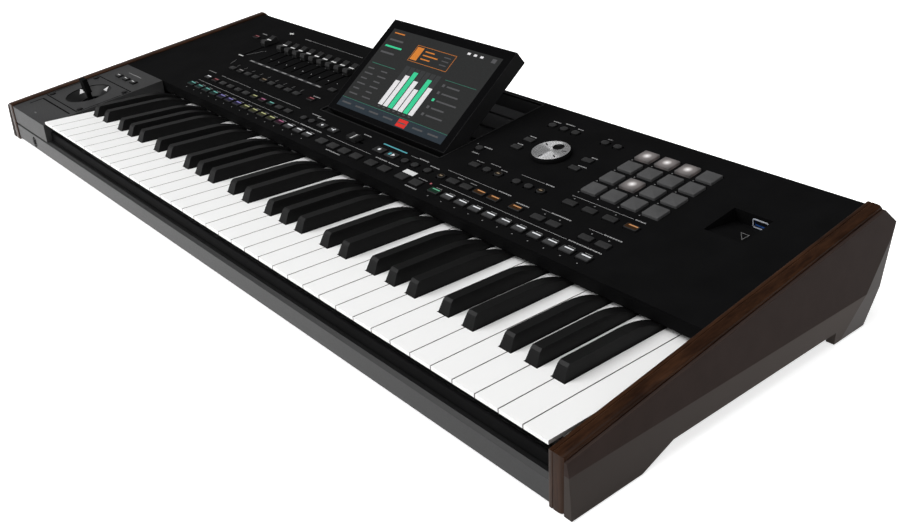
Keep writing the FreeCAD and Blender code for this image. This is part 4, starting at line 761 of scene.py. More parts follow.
WOOD_RINGS = (
    (0.0, 0.9), (0.5, 0.3), (1.2, 0.0), (3.6, 0.0), (3.9, 0.35), (4.3, 0.35), (4.6, 0.05), (9.4, 0.1),
    (11.2, 0.3), (12.4, 0.7), (13.2, 1.2), (13.6, 2.0), (14.0, 2.1),
)
WOOD_SHARP = 24.0
# Least share by which a corner's inset is divided
SHARPEST_CORNER = 0.35


def side_outline(node, side):
    """Ordered outline of a board's side, as pairs of y and z."""
    mesh = frame["nodes"][node].data
    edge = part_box(node)[0 if side < 0 else 1].x
    counts = {}
    for polygon in mesh.polygons:
        corners = [mesh.vertices[index].co for index in polygon.vertices]
        if all(abs(corner.x - edge) < 0.01 * MM for corner in corners):
            keys = [(round(corner.y / MM, 3), round(corner.z / MM, 3)) for corner in corners]
            for here, after in zip(keys, keys[1:] + keys[:1]):
                counts.setdefault(frozenset((here, after)), []).append((here, after))
    following = dict(pair for pairs in counts.values() if len(pairs) == 1 for pair in pairs)
    start = next(iter(following))
    loop = [start]
    while following[loop[-1]] != start:
        loop.append(following[loop[-1]])
    return loop if side > 0 else loop[::-1]


def drawn_in(loop, inset):
    """An outline drawn in by a distance along the bisectors of its corners."""
    moved = []
    for here in range(len(loop)):
        before, point, after = (Vector(loop[index % len(loop)]) for index in (here - 1, here, here + 1))
        first, second = (
            Vector((-along.y, along.x)).normalized() for along in (point - before, after - point))
        share = max(1.0 + first.dot(second), SHARPEST_CORNER)
        moved.append(point + (first + second) * (inset / share))
    return moved


class KEYBOARD_OT_case(bpy.types.Operator):
    """Builds the end boards and finishes the case's panels"""
    bl_idname = "keyboard.case"
    bl_label = "Case"

    def execute(self, context):
        looks = context.scene.keyboard_case
        for name, side in (("left_wood_trim", -1), ("right_wood_trim", 1)):
            low, high = (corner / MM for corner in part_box(name))
            inner = low.x if side > 0 else high.x
            share = (high.x - low.x) / WOOD_RINGS[-1][0]
            loop = side_outline(name, side)
            bm = bmesh.new()
            loft(bm, [[(inner + side * place * share, y, z) for y, z in drawn_in(loop, inset)]
                      for place, inset in WOOD_RINGS])
            piece(name + "_board", bm, ["board_wood"], Matrix(), "case", [name], WOOD_SHARP)
        for node, label, edge in (
            ("left_side_panel", "side_paint", looks.side_edge), ("right_side_panel", "side_paint", looks.side_edge),
            ("top_panel", "panel_black", looks.edge), ("fallboard", "panel_black", looks.edge),
            ("controller_block", "block_grey", looks.edge), ("joystick_plate", "plate_grey", looks.edge),
            ("front_rail", "rail_grey", looks.edge), ("key_slip", "case_black", looks.edge),
            ("rear_panel", "rear_black", looks.edge), ("rear_cap", "rear_black", looks.edge),
            ("display_well", "well_black", looks.edge), ("storage_bay", "case_black", looks.edge),
            ("bottom_pan", "rear_black", looks.edge / 2), ("rubber_feet", "rubber_black", looks.edge),
            ("plate_screws", "screw_black", looks.edge / 4),
        ):
            dress(node, label, edge)
        return {"FINISHED"}


class KEYBOARD_OT_inside(bpy.types.Operator):
    """Finishes the pieces inside the case"""
    bl_idname = "keyboard.inside"
    bl_label = "Inside"

    def execute(self, context):
        for node, label in (
            ("keybed_frame", "zinc_steel"), ("key_pivot_rod", "zinc_steel"), ("key_stop_felts", "felt_dark"),
            ("key_contact_domes", "rubber_black"), ("circuit_boards", "board_green"),
            ("joystick_bracket", "zinc_steel"), ("joystick_yoke", "acetal_dark"),
        ):
            dress(node, label)
        return {"FINISHED"}


class KEYBOARD_OT_keys(bpy.types.Operator):
    """Finishes the keys"""
    bl_idname = "keyboard.keys"
    bl_label = "Keys"

    def execute(self, context):
        looks = context.scene.keyboard_keys
        for start, label, edge in (
            ("white_keys", "key_white", looks.white_edge), ("black_keys", "key_black", looks.black_edge),
        ):
            for node in nodes_named(start):
                dress(node, label, edge)
        return {"FINISHED"}


# Buttons, by group, with a light for each cap of each row from the front

OFF = None
GLOW = {
    "style_buttons": (
        ("light_aqua",) * 4 + ("light_violet",) * 3 + ("light_yellow",) * 4 + ("light_rose",) + ("light_white",) * 3,
        ("light_white", "light_red", OFF, OFF, OFF, OFF, "light_yellow", "light_rose", "light_aqua", OFF, OFF),
    ),
    "memory_buttons": ((OFF,) * 8,),
    "keyboard_set_buttons": (("light_green",) + ("light_white",) * 10,),
    "mixer_buttons": (
        (OFF, "light_dim", OFF, OFF, "light_amber") + (OFF,) * 4 + ("light_red",), (OFF,), ("light_red",),
    ),
    "panel_buttons": (
        (OFF,) * 9 + ("light_amber", OFF, OFF) + ("light_orange",) * 3 + (OFF,) * 4,
        (OFF, OFF, "light_amber", OFF, OFF, "light_amber", OFF, OFF, OFF, "light_orange"),
        (OFF,), (OFF, OFF), (OFF, OFF), (OFF,) * 5,
    ),
    "joystick_switches": ((OFF,) * 3,),
}
# Caps of the panel group that are narrower than this are ovals
OVAL_LIMIT = 10.0
# Ends of a light as shares of its cap's width, and its place behind the middle as a share of the depth
OVAL_LIGHT = (0.3, 0.7, 0.0)
BAR_LIGHT = (0.22, 0.92, 0.2)
# Signs by cap of the panel's first row, as outlines and the number of a finish
ARROW = ((1.0, -2.2), (5.0, 0.0), (1.0, 2.2))
SYMBOLS = {
    2: ((((-2.0, 0.0), (0.0, -1.7), (2.0, 0.0), (0.0, 1.7)), 0),),
    3: ((((-3.2, -0.5), (1.2, -0.5), (1.2, 0.5), (-3.2, 0.5)), 0),
        (((1.4, -2.2), (2.4, -2.2), (2.4, 2.2), (1.4, 2.2)), 0)),
    4: ((((-1.5, -1.5), (1.5, -1.5), (1.5, 1.5), (-1.5, 1.5)), 0),),
    5: ((ARROW, 0), (((-4.4, -2.0), (-1.4, -2.0), (-1.4, 2.0), (-4.4, 2.0)), 1)),
}


class KEYBOARD_OT_buttons(bpy.types.Operator):
    """Builds the button caps with their lights"""
    bl_idname = "keyboard.buttons"
    bl_label = "Buttons"

    def execute(self, context):
        looks = context.scene.keyboard_controls
        edge, depth = looks.cap_edge / MM, looks.light_depth / MM
        for node, table in GLOW.items():
            used = sorted({label for row in table for label in row if label})
            glimmers = [label.replace("light", "glimmer") for label in used]
            # The caps' sides take painted shade
            finishes = ["cap_grey", "cap_side"] + used + glimmers
            bm = bmesh.new()
            lines = rows(solids(node, PANEL))
            if [len(line) for line in lines] != [len(row) for row in table]:
                raise ValueError("rows of %s: %s" % (node, [len(line) for line in lines]))
            for line, row in zip(lines, table):
                for (low, high), label in zip(line, row):
                    oval = node == "panel_buttons" and high.x - low.x < OVAL_LIMIT
                    radius = (high.y - low.y) / 2 if oval else looks.cap_round / MM
                    cap(bm, low, high, radius, edge, 1)
                    if label:
                        bright = finishes.index(label)
                        # Painted glow: the cap round the light glows faintly in its colour
                        loft(bm, [outline(low, high, radius, high.z + height, edge * GLIMMER_INSET)
                                  for height in (INK_LOW, INK_HIGH / 2)], bright + len(used))
                        self.light(bm, low, high, OVAL_LIGHT if oval else BAR_LIGHT, depth, bright)
            piece(node + "_caps", bm, finishes, PANEL, node, [node])
        self.symbols()
        return {"FINISHED"}

    def light(self, bm, low, high, shape, depth, index):
        """A bar of light on a cap."""
        wide, deep = high.x - low.x, high.y - low.y
        left, right, behind = shape
        middle = (low.y + high.y) / 2 + deep * behind
        slab(bm, low.x + wide * left, low.x + wide * right, middle - depth / 2, middle + depth / 2,
             high.z + INK_LOW, high.z + INK_HIGH, index)

    def symbols(self):
        """Signs on the transport caps."""
        front = rows(solids("panel_buttons", PANEL))[0]
        bm = bmesh.new()
        for place, shapes in SYMBOLS.items():
            middle = top_middle(*front[place])
            for points, index in shapes:
                plate(bm, [middle + Vector(point).to_3d() for point in points], index=index)
        piece("transport_symbols", bm, ["light_white", "light_cyan"], PANEL, "panel_buttons")


class KEYBOARD_OT_pads(bpy.types.Operator):
    """Builds the sixteen pads"""
    bl_idname = "keyboard.pads"
    bl_label = "Pads"

    def execute(self, context):
        looks = context.scene.keyboard_controls
        bm = bmesh.new()
        for low, high in solids("chord_pads", PANEL):
            cap(bm, low, high, looks.pad_round / MM, looks.pad_edge / MM)
        piece("chord_pads_caps", bm, ["pad_grey"], PANEL, "chord_pads", ["chord_pads"])
        return {"FINISHED"}


# Dial: rings of radius and height from the skirt's foot to the rim of the disc, and what is cut into the disc; the
# dimple and the notches are darkened by painted shade

DIAL_RINGS = (
    (19.4, 0.6), (19.8, 0.9), (19.8, 3.4), (19.5, 3.8), (19.05, 3.8), (19.0, 3.9), (19.0, 4.65), (18.7, 4.95),
)
DIAL_METAL_FROM = 7
DIAL_TOP = 5.0
DIAL_STEP = 0.55
DIAL_SIDES = 120
DIMPLE_PLACE = Vector((1.6, 8.6))
DIMPLE_RADIUS = 5.9
DIMPLE_DEPTH = 1.5
NOTCH = ((11.2, -0.65), (16.4, -0.65), (16.4, 0.65), (11.2, 0.65))
NOTCH_ANGLES = (-93.0, -32.0, 152.0, 22.0)


class KEYBOARD_OT_dial(bpy.types.Operator):
    """Builds the dial with its finger dimple and notches"""
    bl_idname = "keyboard.dial"
    bl_label = "Dial"

    def execute(self, context):
        middle = PANEL.inverted() @ Vector(joints["dial_turn"]["pos_m"])
        profile = list(DIAL_RINGS)
        radius = DIAL_RINGS[-1][0] - DIAL_STEP
        while radius > DIAL_STEP / 2:
            profile.append((radius, DIAL_TOP))
            radius -= DIAL_STEP
        bm = bmesh.new()
        lines = vertex_lines(bm, [
            [self.dimpled(point) for point in circle(0.0, 0.0, *pair, DIAL_SIDES)] for pair in profile])
        bm.faces.new(lines[0][::-1]).material_index = 1
        bm.faces.new(lines[-1])
        for count, pair in enumerate(zip(lines, lines[1:])):
            for face in skin(bm, *pair, 1 if count < DIAL_METAL_FROM else 0):
                # Faces in the dimple take near-black metal as painted shade
                away = (face.calc_center_median().xy - DIMPLE_PLACE).length
                if count > len(DIAL_RINGS) and away < DIMPLE_RADIUS:
                    face.material_index = 2
        # Notches are dark plates of painted shade, not cuts
        for degrees in NOTCH_ANGLES:
            spin = Matrix.Rotation(math.radians(degrees), 4, "Z")
            plate(bm, [spin @ Vector((x, y, DIAL_TOP)) for x, y in NOTCH], INK_LOW, INK_HIGH / 2, 3)
        piece("value_dial_knob", bm, ["spun_metal", "case_black", "dimple_metal", "slot_dark"],
              PANEL @ Matrix.Translation((middle.x, middle.y, 0.0)), "value_dial", ["value_dial"])
        return {"FINISHED"}

    def dimpled(self, point):
        """A point of the dial, pressed in where the dimple is."""
        x, y, height = point
        away = (Vector((x, y)) - DIMPLE_PLACE).length / DIMPLE_RADIUS
        if height == DIAL_TOP and away < 1.0:
            height -= DIMPLE_DEPTH * (1.0 - away * away)
        return x, y, height


# Slider caps: depth of the faders' valley, and the balance slider's height at shares of its half width. Their lines
# have an inset at the ends, a half width in printed lines, a depth under the valley and a height over it

FADER_VALLEY = 2.6
FADER_LINE = (0.4, 2.6, 0.1, 0.35)
BALANCE_FOOT = 0.8
BALANCE_VALLEY = 4.4
BALANCE_SHAPE = (
    (-1.0, 3.6), (-0.84, 6.1), (-0.1, BALANCE_VALLEY), (0.1, BALANCE_VALLEY), (0.84, 6.1), (1.0, 3.6),
)
BALANCE_LINE = (0.3, 1.6, 0.1, 0.25)


class KEYBOARD_OT_faders(bpy.types.Operator):
    """Finishes the faders and marks their caps"""
    bl_idname = "keyboard.faders"
    bl_label = "Faders"

    def execute(self, context):
        edge = context.scene.keyboard_case.edge
        line = context.scene.keyboard_controls.line_depth / MM
        inset, share, under, over = FADER_LINE
        for node in nodes_named("slot_fader") + ["master_fader"]:
            dress(node, "fader_black", edge / 2)
            low, high = solids(node, PANEL)[0]
            middle = (low.y + high.y) / 2
            top = high.z - FADER_VALLEY
            bm = bmesh.new()
            slab(bm, low.x + inset, high.x - inset, middle - line * share, middle + line * share,
                 top - under, top + over)
            piece(node + "_line", bm, ["ink_white"], PANEL, node)
        low, high = solids("balance_slider", PANEL)[0]
        middle = (low.x + high.x) / 2
        half = (high.x - low.x) / 2
        bm = bmesh.new()
        loft(bm, [[(middle + half * across, y, z) for y, z in (
            (low.y, BALANCE_FOOT), (high.y, BALANCE_FOOT), (high.y, top), (low.y, top))]
            for across, top in BALANCE_SHAPE])
        inset, share, under, over = BALANCE_LINE
        slab(bm, middle - line * share, middle + line * share, low.y + inset, high.y - inset,
             BALANCE_VALLEY - under, BALANCE_VALLEY + over, 1)
        piece("balance_slider_cap", bm, ["fader_black", "ink_white"], PANEL, "balance_slider",
              ["balance_slider"])
        return {"FINISHED"}


# Joystick block: an arrow in the dish, the dish's cone, and grooves and words measured from the lever. The seams and
# groove are painted shade. A switch's mark has an inset and a half depth, and the jack's ring, painted shade too, two
# radii

DISH_ARROW = ((-4.6, 20.0), (4.6, 20.0), (0.0, 26.6))
DISH_FLOOR_RADIUS = 12.5
DISH_DROP = 9.0
SEAM = 0.7
SCREW_SEAM = 0.9
GROOVE = ((-41.4, 45.4, -118.3, -116.3), (-41.4, -39.4, -133.9, -118.3))
GROOVE_FLOOR = -0.8
BLOCK_WORDS = ((-4.0, 2.0, -142.0, -140.6, 0), (-17.7, 18.3, -13.6, -12.5, 1))
SWITCH_MARK = (2.5, 0.5)
JACK_RING = (4.6, 6.4)


class KEYBOARD_OT_joystick(bpy.types.Operator):
    """Finishes the joystick and prints its arrows"""
    bl_idname = "keyboard.joystick"
    bl_label = "Joystick"

    def execute(self, context):
        dress("joystick_lever", "case_black", context.scene.keyboard_case.edge)
        lever = lever_place()
        bm = bmesh.new()
        for degrees in (90.0, 0.0):
            spin = Matrix.Rotation(math.radians(degrees), 4, "Z")
            plate(bm, [lever + self.in_dish(spin @ Vector(point).to_3d()) for point in DISH_ARROW])
        piece("joystick_arrows", bm, ["ink_white"], PANEL, "case")
        self.seams(lever)
        bm = bmesh.new()
        inset, half = SWITCH_MARK
        for low, high in solids("joystick_switches", PANEL):
            middle = (low.y + high.y) / 2
            slab(bm, low.x + inset, high.x - inset, middle - half, middle + half,
                 high.z + INK_LOW, high.z + INK_HIGH)
        piece("joystick_switch_marks", bm, ["ink_white"], PANEL, "joystick_switches")
        return {"FINISHED"}

    def in_dish(self, corner):
        """A point of the panel, dropped onto the dish's cone."""
        share = (DISH_RADIUS - corner.length) / (DISH_RADIUS - DISH_FLOOR_RADIUS)
        return corner + DOWN * DISH_DROP * min(max(share, 0.0), 1.0)

    def seams(self, lever):
        """Painted shade: dark lines in the gaps round the plate and in the block's groove, and rings round the screws
        and the headphone jack.
        """
        low, high = solids("joystick_plate", PANEL)[0]
        bm = bmesh.new()
        for place in (low.y, high.y):
            slab(bm, low.x - SEAM, high.x + SEAM, place - SEAM, place + SEAM)
        for place in (low.x, high.x):
            slab(bm, place - SEAM, place + SEAM, low.y, high.y)
        for left, right, front, rear in GROOVE:
            slab(bm, lever.x + left, lever.x + right, front, rear, GROOVE_FLOOR, INK_HIGH / 2)
        for low, high in solids("plate_screws", PANEL):
            middle, radius = top_middle(low, high), (high.x - low.x) / 2
            ring(bm, middle.x, middle.y, radius, radius + SCREW_SEAM)
        piece("block_seams", bm, ["slot_dark"], PANEL, "case")
        bm = bmesh.new()
        for left, right, front, rear, index in BLOCK_WORDS:
            words(bm, lever.x + left, lever.x + right, front, rear, index)
        piece("block_print", bm, ["ink_grey", "ink_soft"], PANEL, "case")
        jack = mounts["headphone_jack"]
        place = Vector(jack["pos_m"])
        place.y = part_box("front_rail")[0].y
        bm = bmesh.new()
        ring(bm, 0.0, 0.0, *JACK_RING, INK_HIGH / 4)
        piece("headphone_jack_ring", bm, ["slot_dark"], plane(place, jack["axis"]), "case")


# Display picture: fields as left, right, lower and upper share and colour, and the heights of the bars

FIELDS = (
    (0.0, 1.0, 0.0, 0.105, "ui_slate"), (0.0, 1.0, 0.105, 0.109, "ui_teal"), (0.03, 0.26, 0.56, 0.565, "ui_teal"),
    (0.30, 0.66, 0.89, 0.894, "ui_orange"), (0.30, 0.66, 0.70, 0.704, "ui_orange"),
    (0.30, 0.303, 0.70, 0.894, "ui_orange"), (0.657, 0.66, 0.70, 0.894, "ui_orange"),
    (0.31, 0.37, 0.72, 0.875, "ui_orange"), (0.70, 0.97, 0.62, 0.624, "ui_teal"),
)
BARS = (0.30, 0.38, 0.44, 0.35, 0.27, 0.41, 0.33)
GREEN_BARS = (2, 5)
LAYER = 0.03
# Back of the display: vent slots, dark slabs of painted shade, as first place, step, count, half width, front and
# rear, then screws
BACK_SLOTS = (-60.0, 8.0, 16, 1.1, 62.0, 84.0)
BACK_SCREWS = ((-92.0, 12.0), (92.0, 12.0), (-92.0, 112.0), (92.0, 112.0), (0.0, 112.0))
BACK_SCREW_RADIUS = 1.8


def tiles():
    """Tiles of the picture as left, right, lower and upper share, colour and layer."""
    yield 0.0, 1.0, 0.0, 1.0, "ui_back", 0
    for field in FIELDS:
        yield *field, 1
    for count in range(7):
        place = 0.03 + count * 0.138
        yield place, place + 0.09, 0.045, 0.062, "ui_grey", 2
    yield 0.58, 0.665, 0.012, 0.095, "ui_red", 2
    yield 0.595, 0.65, 0.05, 0.062, "ui_grey", 3
    for count in range(3):
        lower = 0.84 - 0.045 * count
        yield 0.395, 0.48 + 0.05 * (count % 2), lower, lower + 0.013, "ui_orange", 2
        yield 0.57, 0.63, lower, lower + 0.01, "ui_grey", 2
    for count, level in enumerate(BARS):
        start = 0.33 + count * 0.048
        yield start, start + 0.04, 0.16, 0.64, "ui_tile", 1
        yield start, start + 0.04, 0.16, 0.16 + level, "ui_green" if count in GREEN_BARS else "ui_white", 2
        yield start + 0.01, start + 0.03, 0.135, 0.145, "ui_grey", 2
    for start in (0.03, 0.16):
        for line in range(6):
            lower = 0.49 - line * 0.065
            yield start, start + 0.06 + 0.02 * (line % 2), lower, lower + 0.014, "ui_grey", 2
    for line in range(3):
        lower = 0.86 - line * 0.08
        yield 0.03, 0.16 + 0.03 * (line % 2), lower, lower + 0.02, "ui_green" if line == 1 else "ui_grey", 2
    for line in range(5):
        lower = 0.55 - line * 0.085
        yield 0.71, 0.73, lower - 0.006, lower + 0.024, "ui_green" if line == 2 else "ui_grey", 2
        yield 0.75, 0.86 + 0.03 * (line % 3), lower, lower + 0.016, "ui_grey", 2
    yield 0.03, 0.13, 0.95, 0.962, "ui_orange", 2
    for start in (0.72, 0.775, 0.83):
        yield start, start + 0.025, 0.945, 0.968, "ui_white", 2
    yield 0.93, 0.965, 0.93, 0.975, "ui_grey", 2


class KEYBOARD_OT_display(bpy.types.Operator):
    """Finishes the display and draws a plain picture on it"""
    bl_idname = "keyboard.display"
    bl_label = "Display"

    def execute(self, context):
        edge = context.scene.keyboard_case.edge
        border = context.scene.keyboard_screen
        dress("display_housing", "housing_black", edge)
        dress("display_screen", "glass_black", edge / 3)
        self.back()
        low, high = solids("display_screen", SCREEN)[0]
        left, front = low.x + border.left / MM, low.y + border.front / MM
        wide, tall = high.x - border.right / MM - left, high.y - border.rear / MM - front
        finishes = list(PICTURE)
        bm = bmesh.new()
        for start, end, lower, upper, label, layer in tiles():
            slab(bm, left + wide * start, left + wide * end, front + tall * lower, front + tall * upper,
                 INK_LOW, LAYER * (1 + layer), finishes.index(label))
        piece("display_picture", bm, finishes, SCREEN, "display")
        return {"FINISHED"}

    def back(self):
        """Vent slots, drawn as dark slabs of painted shade, and screws on the back of the housing."""
        floor = min(low.z for low, high in solids("display_housing", SCREEN))
        behind = SCREEN @ Matrix.Translation((0.0, 0.0, floor * MM)) @ Matrix.Rotation(math.pi, 4, "Y")
        start, step, count, half, front, rear = BACK_SLOTS
        bm = bmesh.new()
        for number in range(count):
            middle = start + step * number
            slab(bm, middle - half, middle + half, front, rear, index=1)
        for x, y in BACK_SCREWS:
            screw(bm, x, y, BACK_SCREW_RADIUS, 0, 1)
        piece("display_back_fittings", bm, ["screw_black", "slot_dark"], behind, "display")


# Print on the panel: lines and rows of words as left, right and place up the panel

LINES = (
    (-330.0, -96.0, 28.0), (-41.0, 38.0, 27.8), (148.7, 314.0, 28.2), (133.0, 203.0, 50.8), (200.5, 231.0, 84.0),
    (261.6, 272.0, 50.8), (317.9, 334.0, 50.8), (266.6, 338.0, 83.2), (-300.0, -242.0, 50.6),
    (-220.0, -130.0, 50.6), (-309.0, -193.8, 181.6), (77.0, 89.0, 49.2),
)
BOLD_WORDS = (
    (-94.0, -52.0, 27.6), (316.0, 353.0, 28.0), (205.0, 221.6, 50.6), (232.0, 243.0, 83.8), (273.5, 296.8, 50.6),
    (335.0, 354.4, 50.6), (340.0, 352.0, 83.0), (-13.6, 11.3, 7.9), (47.9, 66.4, 26.9), (68.9, 85.9, 27.0),
    (120.6, 138.0, 7.9), (-104.8, -87.2, 50.2), (-90.2, -76.4, 47.8), (-7.3, 5.8, 51.6), (89.4, 104.2, 49.8),
    (111.0, 124.8, 46.2), (234.0, 250.0, 45.6), (231.9, 239.4, 144.2), (231.8, 242.5, 125.9),
    (-325.6, -311.0, 181.2), (-147.4, -134.0, 79.2), (-404.0, -393.0, 162.3), (148.2, 156.9, 144.2),
    (148.6, 156.5, 126.2), (125.9, 137.9, 102.8), (123.4, 133.3, 88.9), (159.2, 171.8, 183.4),
    (177.9, 185.2, 181.4), (144.0, 154.1, 181.0),
)
FAINT_WORDS = (
    (152.6, 161.3, 46.2), (171.7, 180.8, 45.8), (121.0, 134.0, 24.4), (-346.9, -328.7, 51.0),
    (-313.0, -302.0, 50.6), (-232.5, -224.2, 49.4), (141.7, 152.0, 79.4), (158.5, 172.9, 82.6),
    (176.5, 185.7, 79.6), (219.0, 225.0, 181.0),
)
DOTS = (
    (269.9, 46.5), (288.1, 46.5), (325.7, 46.4), (344.8, 46.4), (272.8, 80.0), (297.1, 80.0), (321.4, 80.0),
    (-337.3, 127.8), (115.0, 104.4),
)
# Depth of bold words as a share of a label's, and radii of the dots in the table, by caps and pads, and by faders
BOLD = 1.3
DOT_RADIUS = 0.75
CAP_DOT_RADIUS = 0.7
FADER_DOT_RADIUS = 0.6
# Row of dots in front of the first caps, dots beside the faders as place and finish, and dots in front of the pads
FRONT_DOTS = 7.8
FADER_DOTS = ((116.0, 0), (136.6, 1))
FADER_DOT_ASIDE = 11.3
PAD_DOT = (-0.6, -1.8)
# Words behind a cap as insets, gap and share of a label's depth, and a mixer mark as inset, printed lines and ends
CAP_WORDS = (2.0, 4.0, 2.0, 0.8)
MIXER_MARK = (2.0, 1.4, 4.0, 9.0)
# Bracket beside the faders, whose half width is a share of a printed line, with its words, and a cross behind it
BRACKET_LINE = 0.6
BRACKET = (((-341.7, 79.0), (-347.5, 91.0)), ((-351.0, 107.2), (-340.1, 126.7)))
BRACKET_WORDS = (-362.0, -351.0, 101.4, 103.4)
CROSS = ((-368.0, -358.8, 183.2, 184.8), (-364.4, -362.4, 181.0, 187.0))
# Inlays as left, right, front and rear, with their heights, and the strip's lights as half width and inset
STRIP = (-327.0, -161.0, 97.4, 100.6)
STRIP_HIGH = 0.2
STRIP_LIGHTS = [-320.7 + 19.15 * count for count in range(9)]
STRIP_LIGHT = (5.0, 0.8)
STRIP_LIGHT_HIGH = 0.26
TRANSPORT_BAR = (30.5, 69.3, 49.6, 51.0)
TRANSPORT_BAR_HIGH = 0.3
LAMP = (140.4, 24.0, ((1.2, INK_LOW), (1.2, 0.3), (0.6, 0.6)))
MEMORY_PLATE = (96.6, 113.6, 23.4, 29.6)
MEMORY_PLATE_HIGH = 0.2
MEMORY_WORDS = (100.0, 110.0, 25.9, 27.1)
WELL_RIM = (-106.9, 106.9, 61.4, 204.6)
WELL_RIM_WIDTH = 1.3
WELL_RIM_HIGH = 0.5


class KEYBOARD_OT_print(bpy.types.Operator):
    """Prints labels, lines and dots on the control panel"""
    bl_idname = "keyboard.print"
    bl_label = "Print"

    def execute(self, context):
        looks = context.scene.keyboard_controls
        label, line = looks.label_depth / MM, looks.line_depth / MM
        bm = bmesh.new()
        for left, right, place in LINES:
            slab(bm, left, right, place, place + line, index=2)
        for table, depth, index in ((BOLD_WORDS, label * BOLD, 2), (FAINT_WORDS, label, 1)):
            for left, right, place in table:
                words(bm, left, right, place, place + depth, index)
        for x, y in DOTS:
            dot(bm, x, y, DOT_RADIUS, 1)
        for start, end in BRACKET:
            start, end = Vector(start), Vector(end)
            side = (end - start).orthogonal().normalized() * line * BRACKET_LINE
            plate(bm, (start - side, end - side, end + side, start + side), index=1)
        words(bm, *BRACKET_WORDS)
        for sides in CROSS:
            slab(bm, *sides)
        self.caps(bm, label, line)
        piece("panel_print", bm, ["ink_white", "ink_grey", "ink_soft"], PANEL, "case")
        self.inlays()
        return {"FINISHED"}

    def caps(self, bm, label, line):
        """Prints dots and small labels that follow the caps, pads and faders."""
        left, right, gap, share = CAP_WORDS
        for node in ("style_buttons", "keyboard_set_buttons"):
            for low, high in rows(solids(node, PANEL))[0]:
                dot(bm, (low.x + high.x) / 2, FRONT_DOTS, CAP_DOT_RADIUS, 1)
                words(bm, low.x + left, high.x - right, high.y + gap, high.y + gap + label * share, 1)
        left, share, front, rear = MIXER_MARK
        for low, high in rows(solids("mixer_buttons", PANEL))[0][:-1]:
            slab(bm, low.x + left, low.x + left + line * share, high.y + front, high.y + rear, index=1)
        for node in nodes_named("slot_fader"):
            low, high = solids(node, PANEL)[0]
            for place, index in FADER_DOTS:
                dot(bm, (low.x + high.x) / 2 + FADER_DOT_ASIDE, place, FADER_DOT_RADIUS, index)
        for low, high in solids("chord_pads", PANEL):
            dot(bm, low.x + PAD_DOT[0], low.y + PAD_DOT[1], CAP_DOT_RADIUS, 1)

    def inlays(self):
        """Lit strip over the mixer, bar over the transport caps, lamp, plate and the rim round the well."""
        bm = bmesh.new()
        slab(bm, *STRIP, high=STRIP_HIGH)
        half, inset = STRIP_LIGHT
        for middle in STRIP_LIGHTS:
            slab(bm, middle - half, middle + half, STRIP[2] + inset, STRIP[3] - inset,
                 high=STRIP_LIGHT_HIGH, index=1)
        piece("fader_strip", bm, ["strip_grey", "ink_soft"], PANEL, "case")
        bm = bmesh.new()
        slab(bm, *TRANSPORT_BAR, high=TRANSPORT_BAR_HIGH)
        turned(bm, *LAMP, 1, LAMP_STEPS)
        piece("panel_lamps", bm, ["light_cyan", "light_red"], PANEL, "case")
        bm = bmesh.new()
        slab(bm, *MEMORY_PLATE, high=MEMORY_PLATE_HIGH)
        words(bm, *MEMORY_WORDS, 1)
        piece("memory_plate", bm, ["ink_white", "ink_grey"], PANEL, "case")
        left, right, front, rear = WELL_RIM
        bm = bmesh.new()
        for sides in ((left, right, front, front + WELL_RIM_WIDTH), (left, right, rear - WELL_RIM_WIDTH, rear),
                      (left, left + WELL_RIM_WIDTH, front, rear), (right - WELL_RIM_WIDTH, right, front, rear)):
            slab(bm, *sides, high=WELL_RIM_HIGH)
        piece("well_rim", bm, ["rim_grey"], PANEL, "case")


# Storage port: middle, half sizes and rings of depth and inset on the bay's rear wall, then the insert and the tongue
# as half width, lower and upper share, foot, top and finish, and the mark on the bay's floor

PORT_PLACE = (421.0, 145.0, -8.2)
PORT_HALF = (7.3, 3.6)
PORT_CORNER = 1.4
PORT_RINGS = ((0.0, -0.9), (0.5, -0.7), (0.7, -0.2), (0.5, 0.4), (-1.5, 0.5))
PORT_BLOCKS = ((0.9, -0.85, 0.85, -2.4, -1.4, 1), (0.72, -0.1, 0.55, -1.4, -0.2, 2))
PORT_MARK = ((414.2, 127.3, -8.25), (422.9, 127.3, -8.25), (424.6, 114.0, -4.68))
PORT_MARK_WIDTH = 0.16
PORT_MARK_HIGH = 0.12
# Rear wall, seen from behind: rings as inner radius and width, then words, lines and screws
SOCKET_RINGS = {"jack": (7.6, 1.5), "data": (8.8, 1.6)}
SOCKET_RING_HIGH = 0.7
SOCKET_WORD_HALF = 7.0
REAR_LINES = ((215.0, 343.0), (-110.0, -46.0), (-432.0, -366.0))
REAR_WORDS = ((-390.0, -370.0), (-428.0, -412.0))
REAR_WORD_PLACE = (14.0, 15.4)
REAR_LINE_PLACE = (19.0, 19.5)
REAR_SCREWS = (150.0, 300.0, 452.0)
REAR_SCREW_PLACE = 26.0
REAR_SCREW_RADIUS = 2.8
# Screws of the bottom pan in each of its two rows
PAN_SCREWS = 6
PAN_SCREW_INSET = 10.0
PAN_SCREW_RADIUS = 3.2


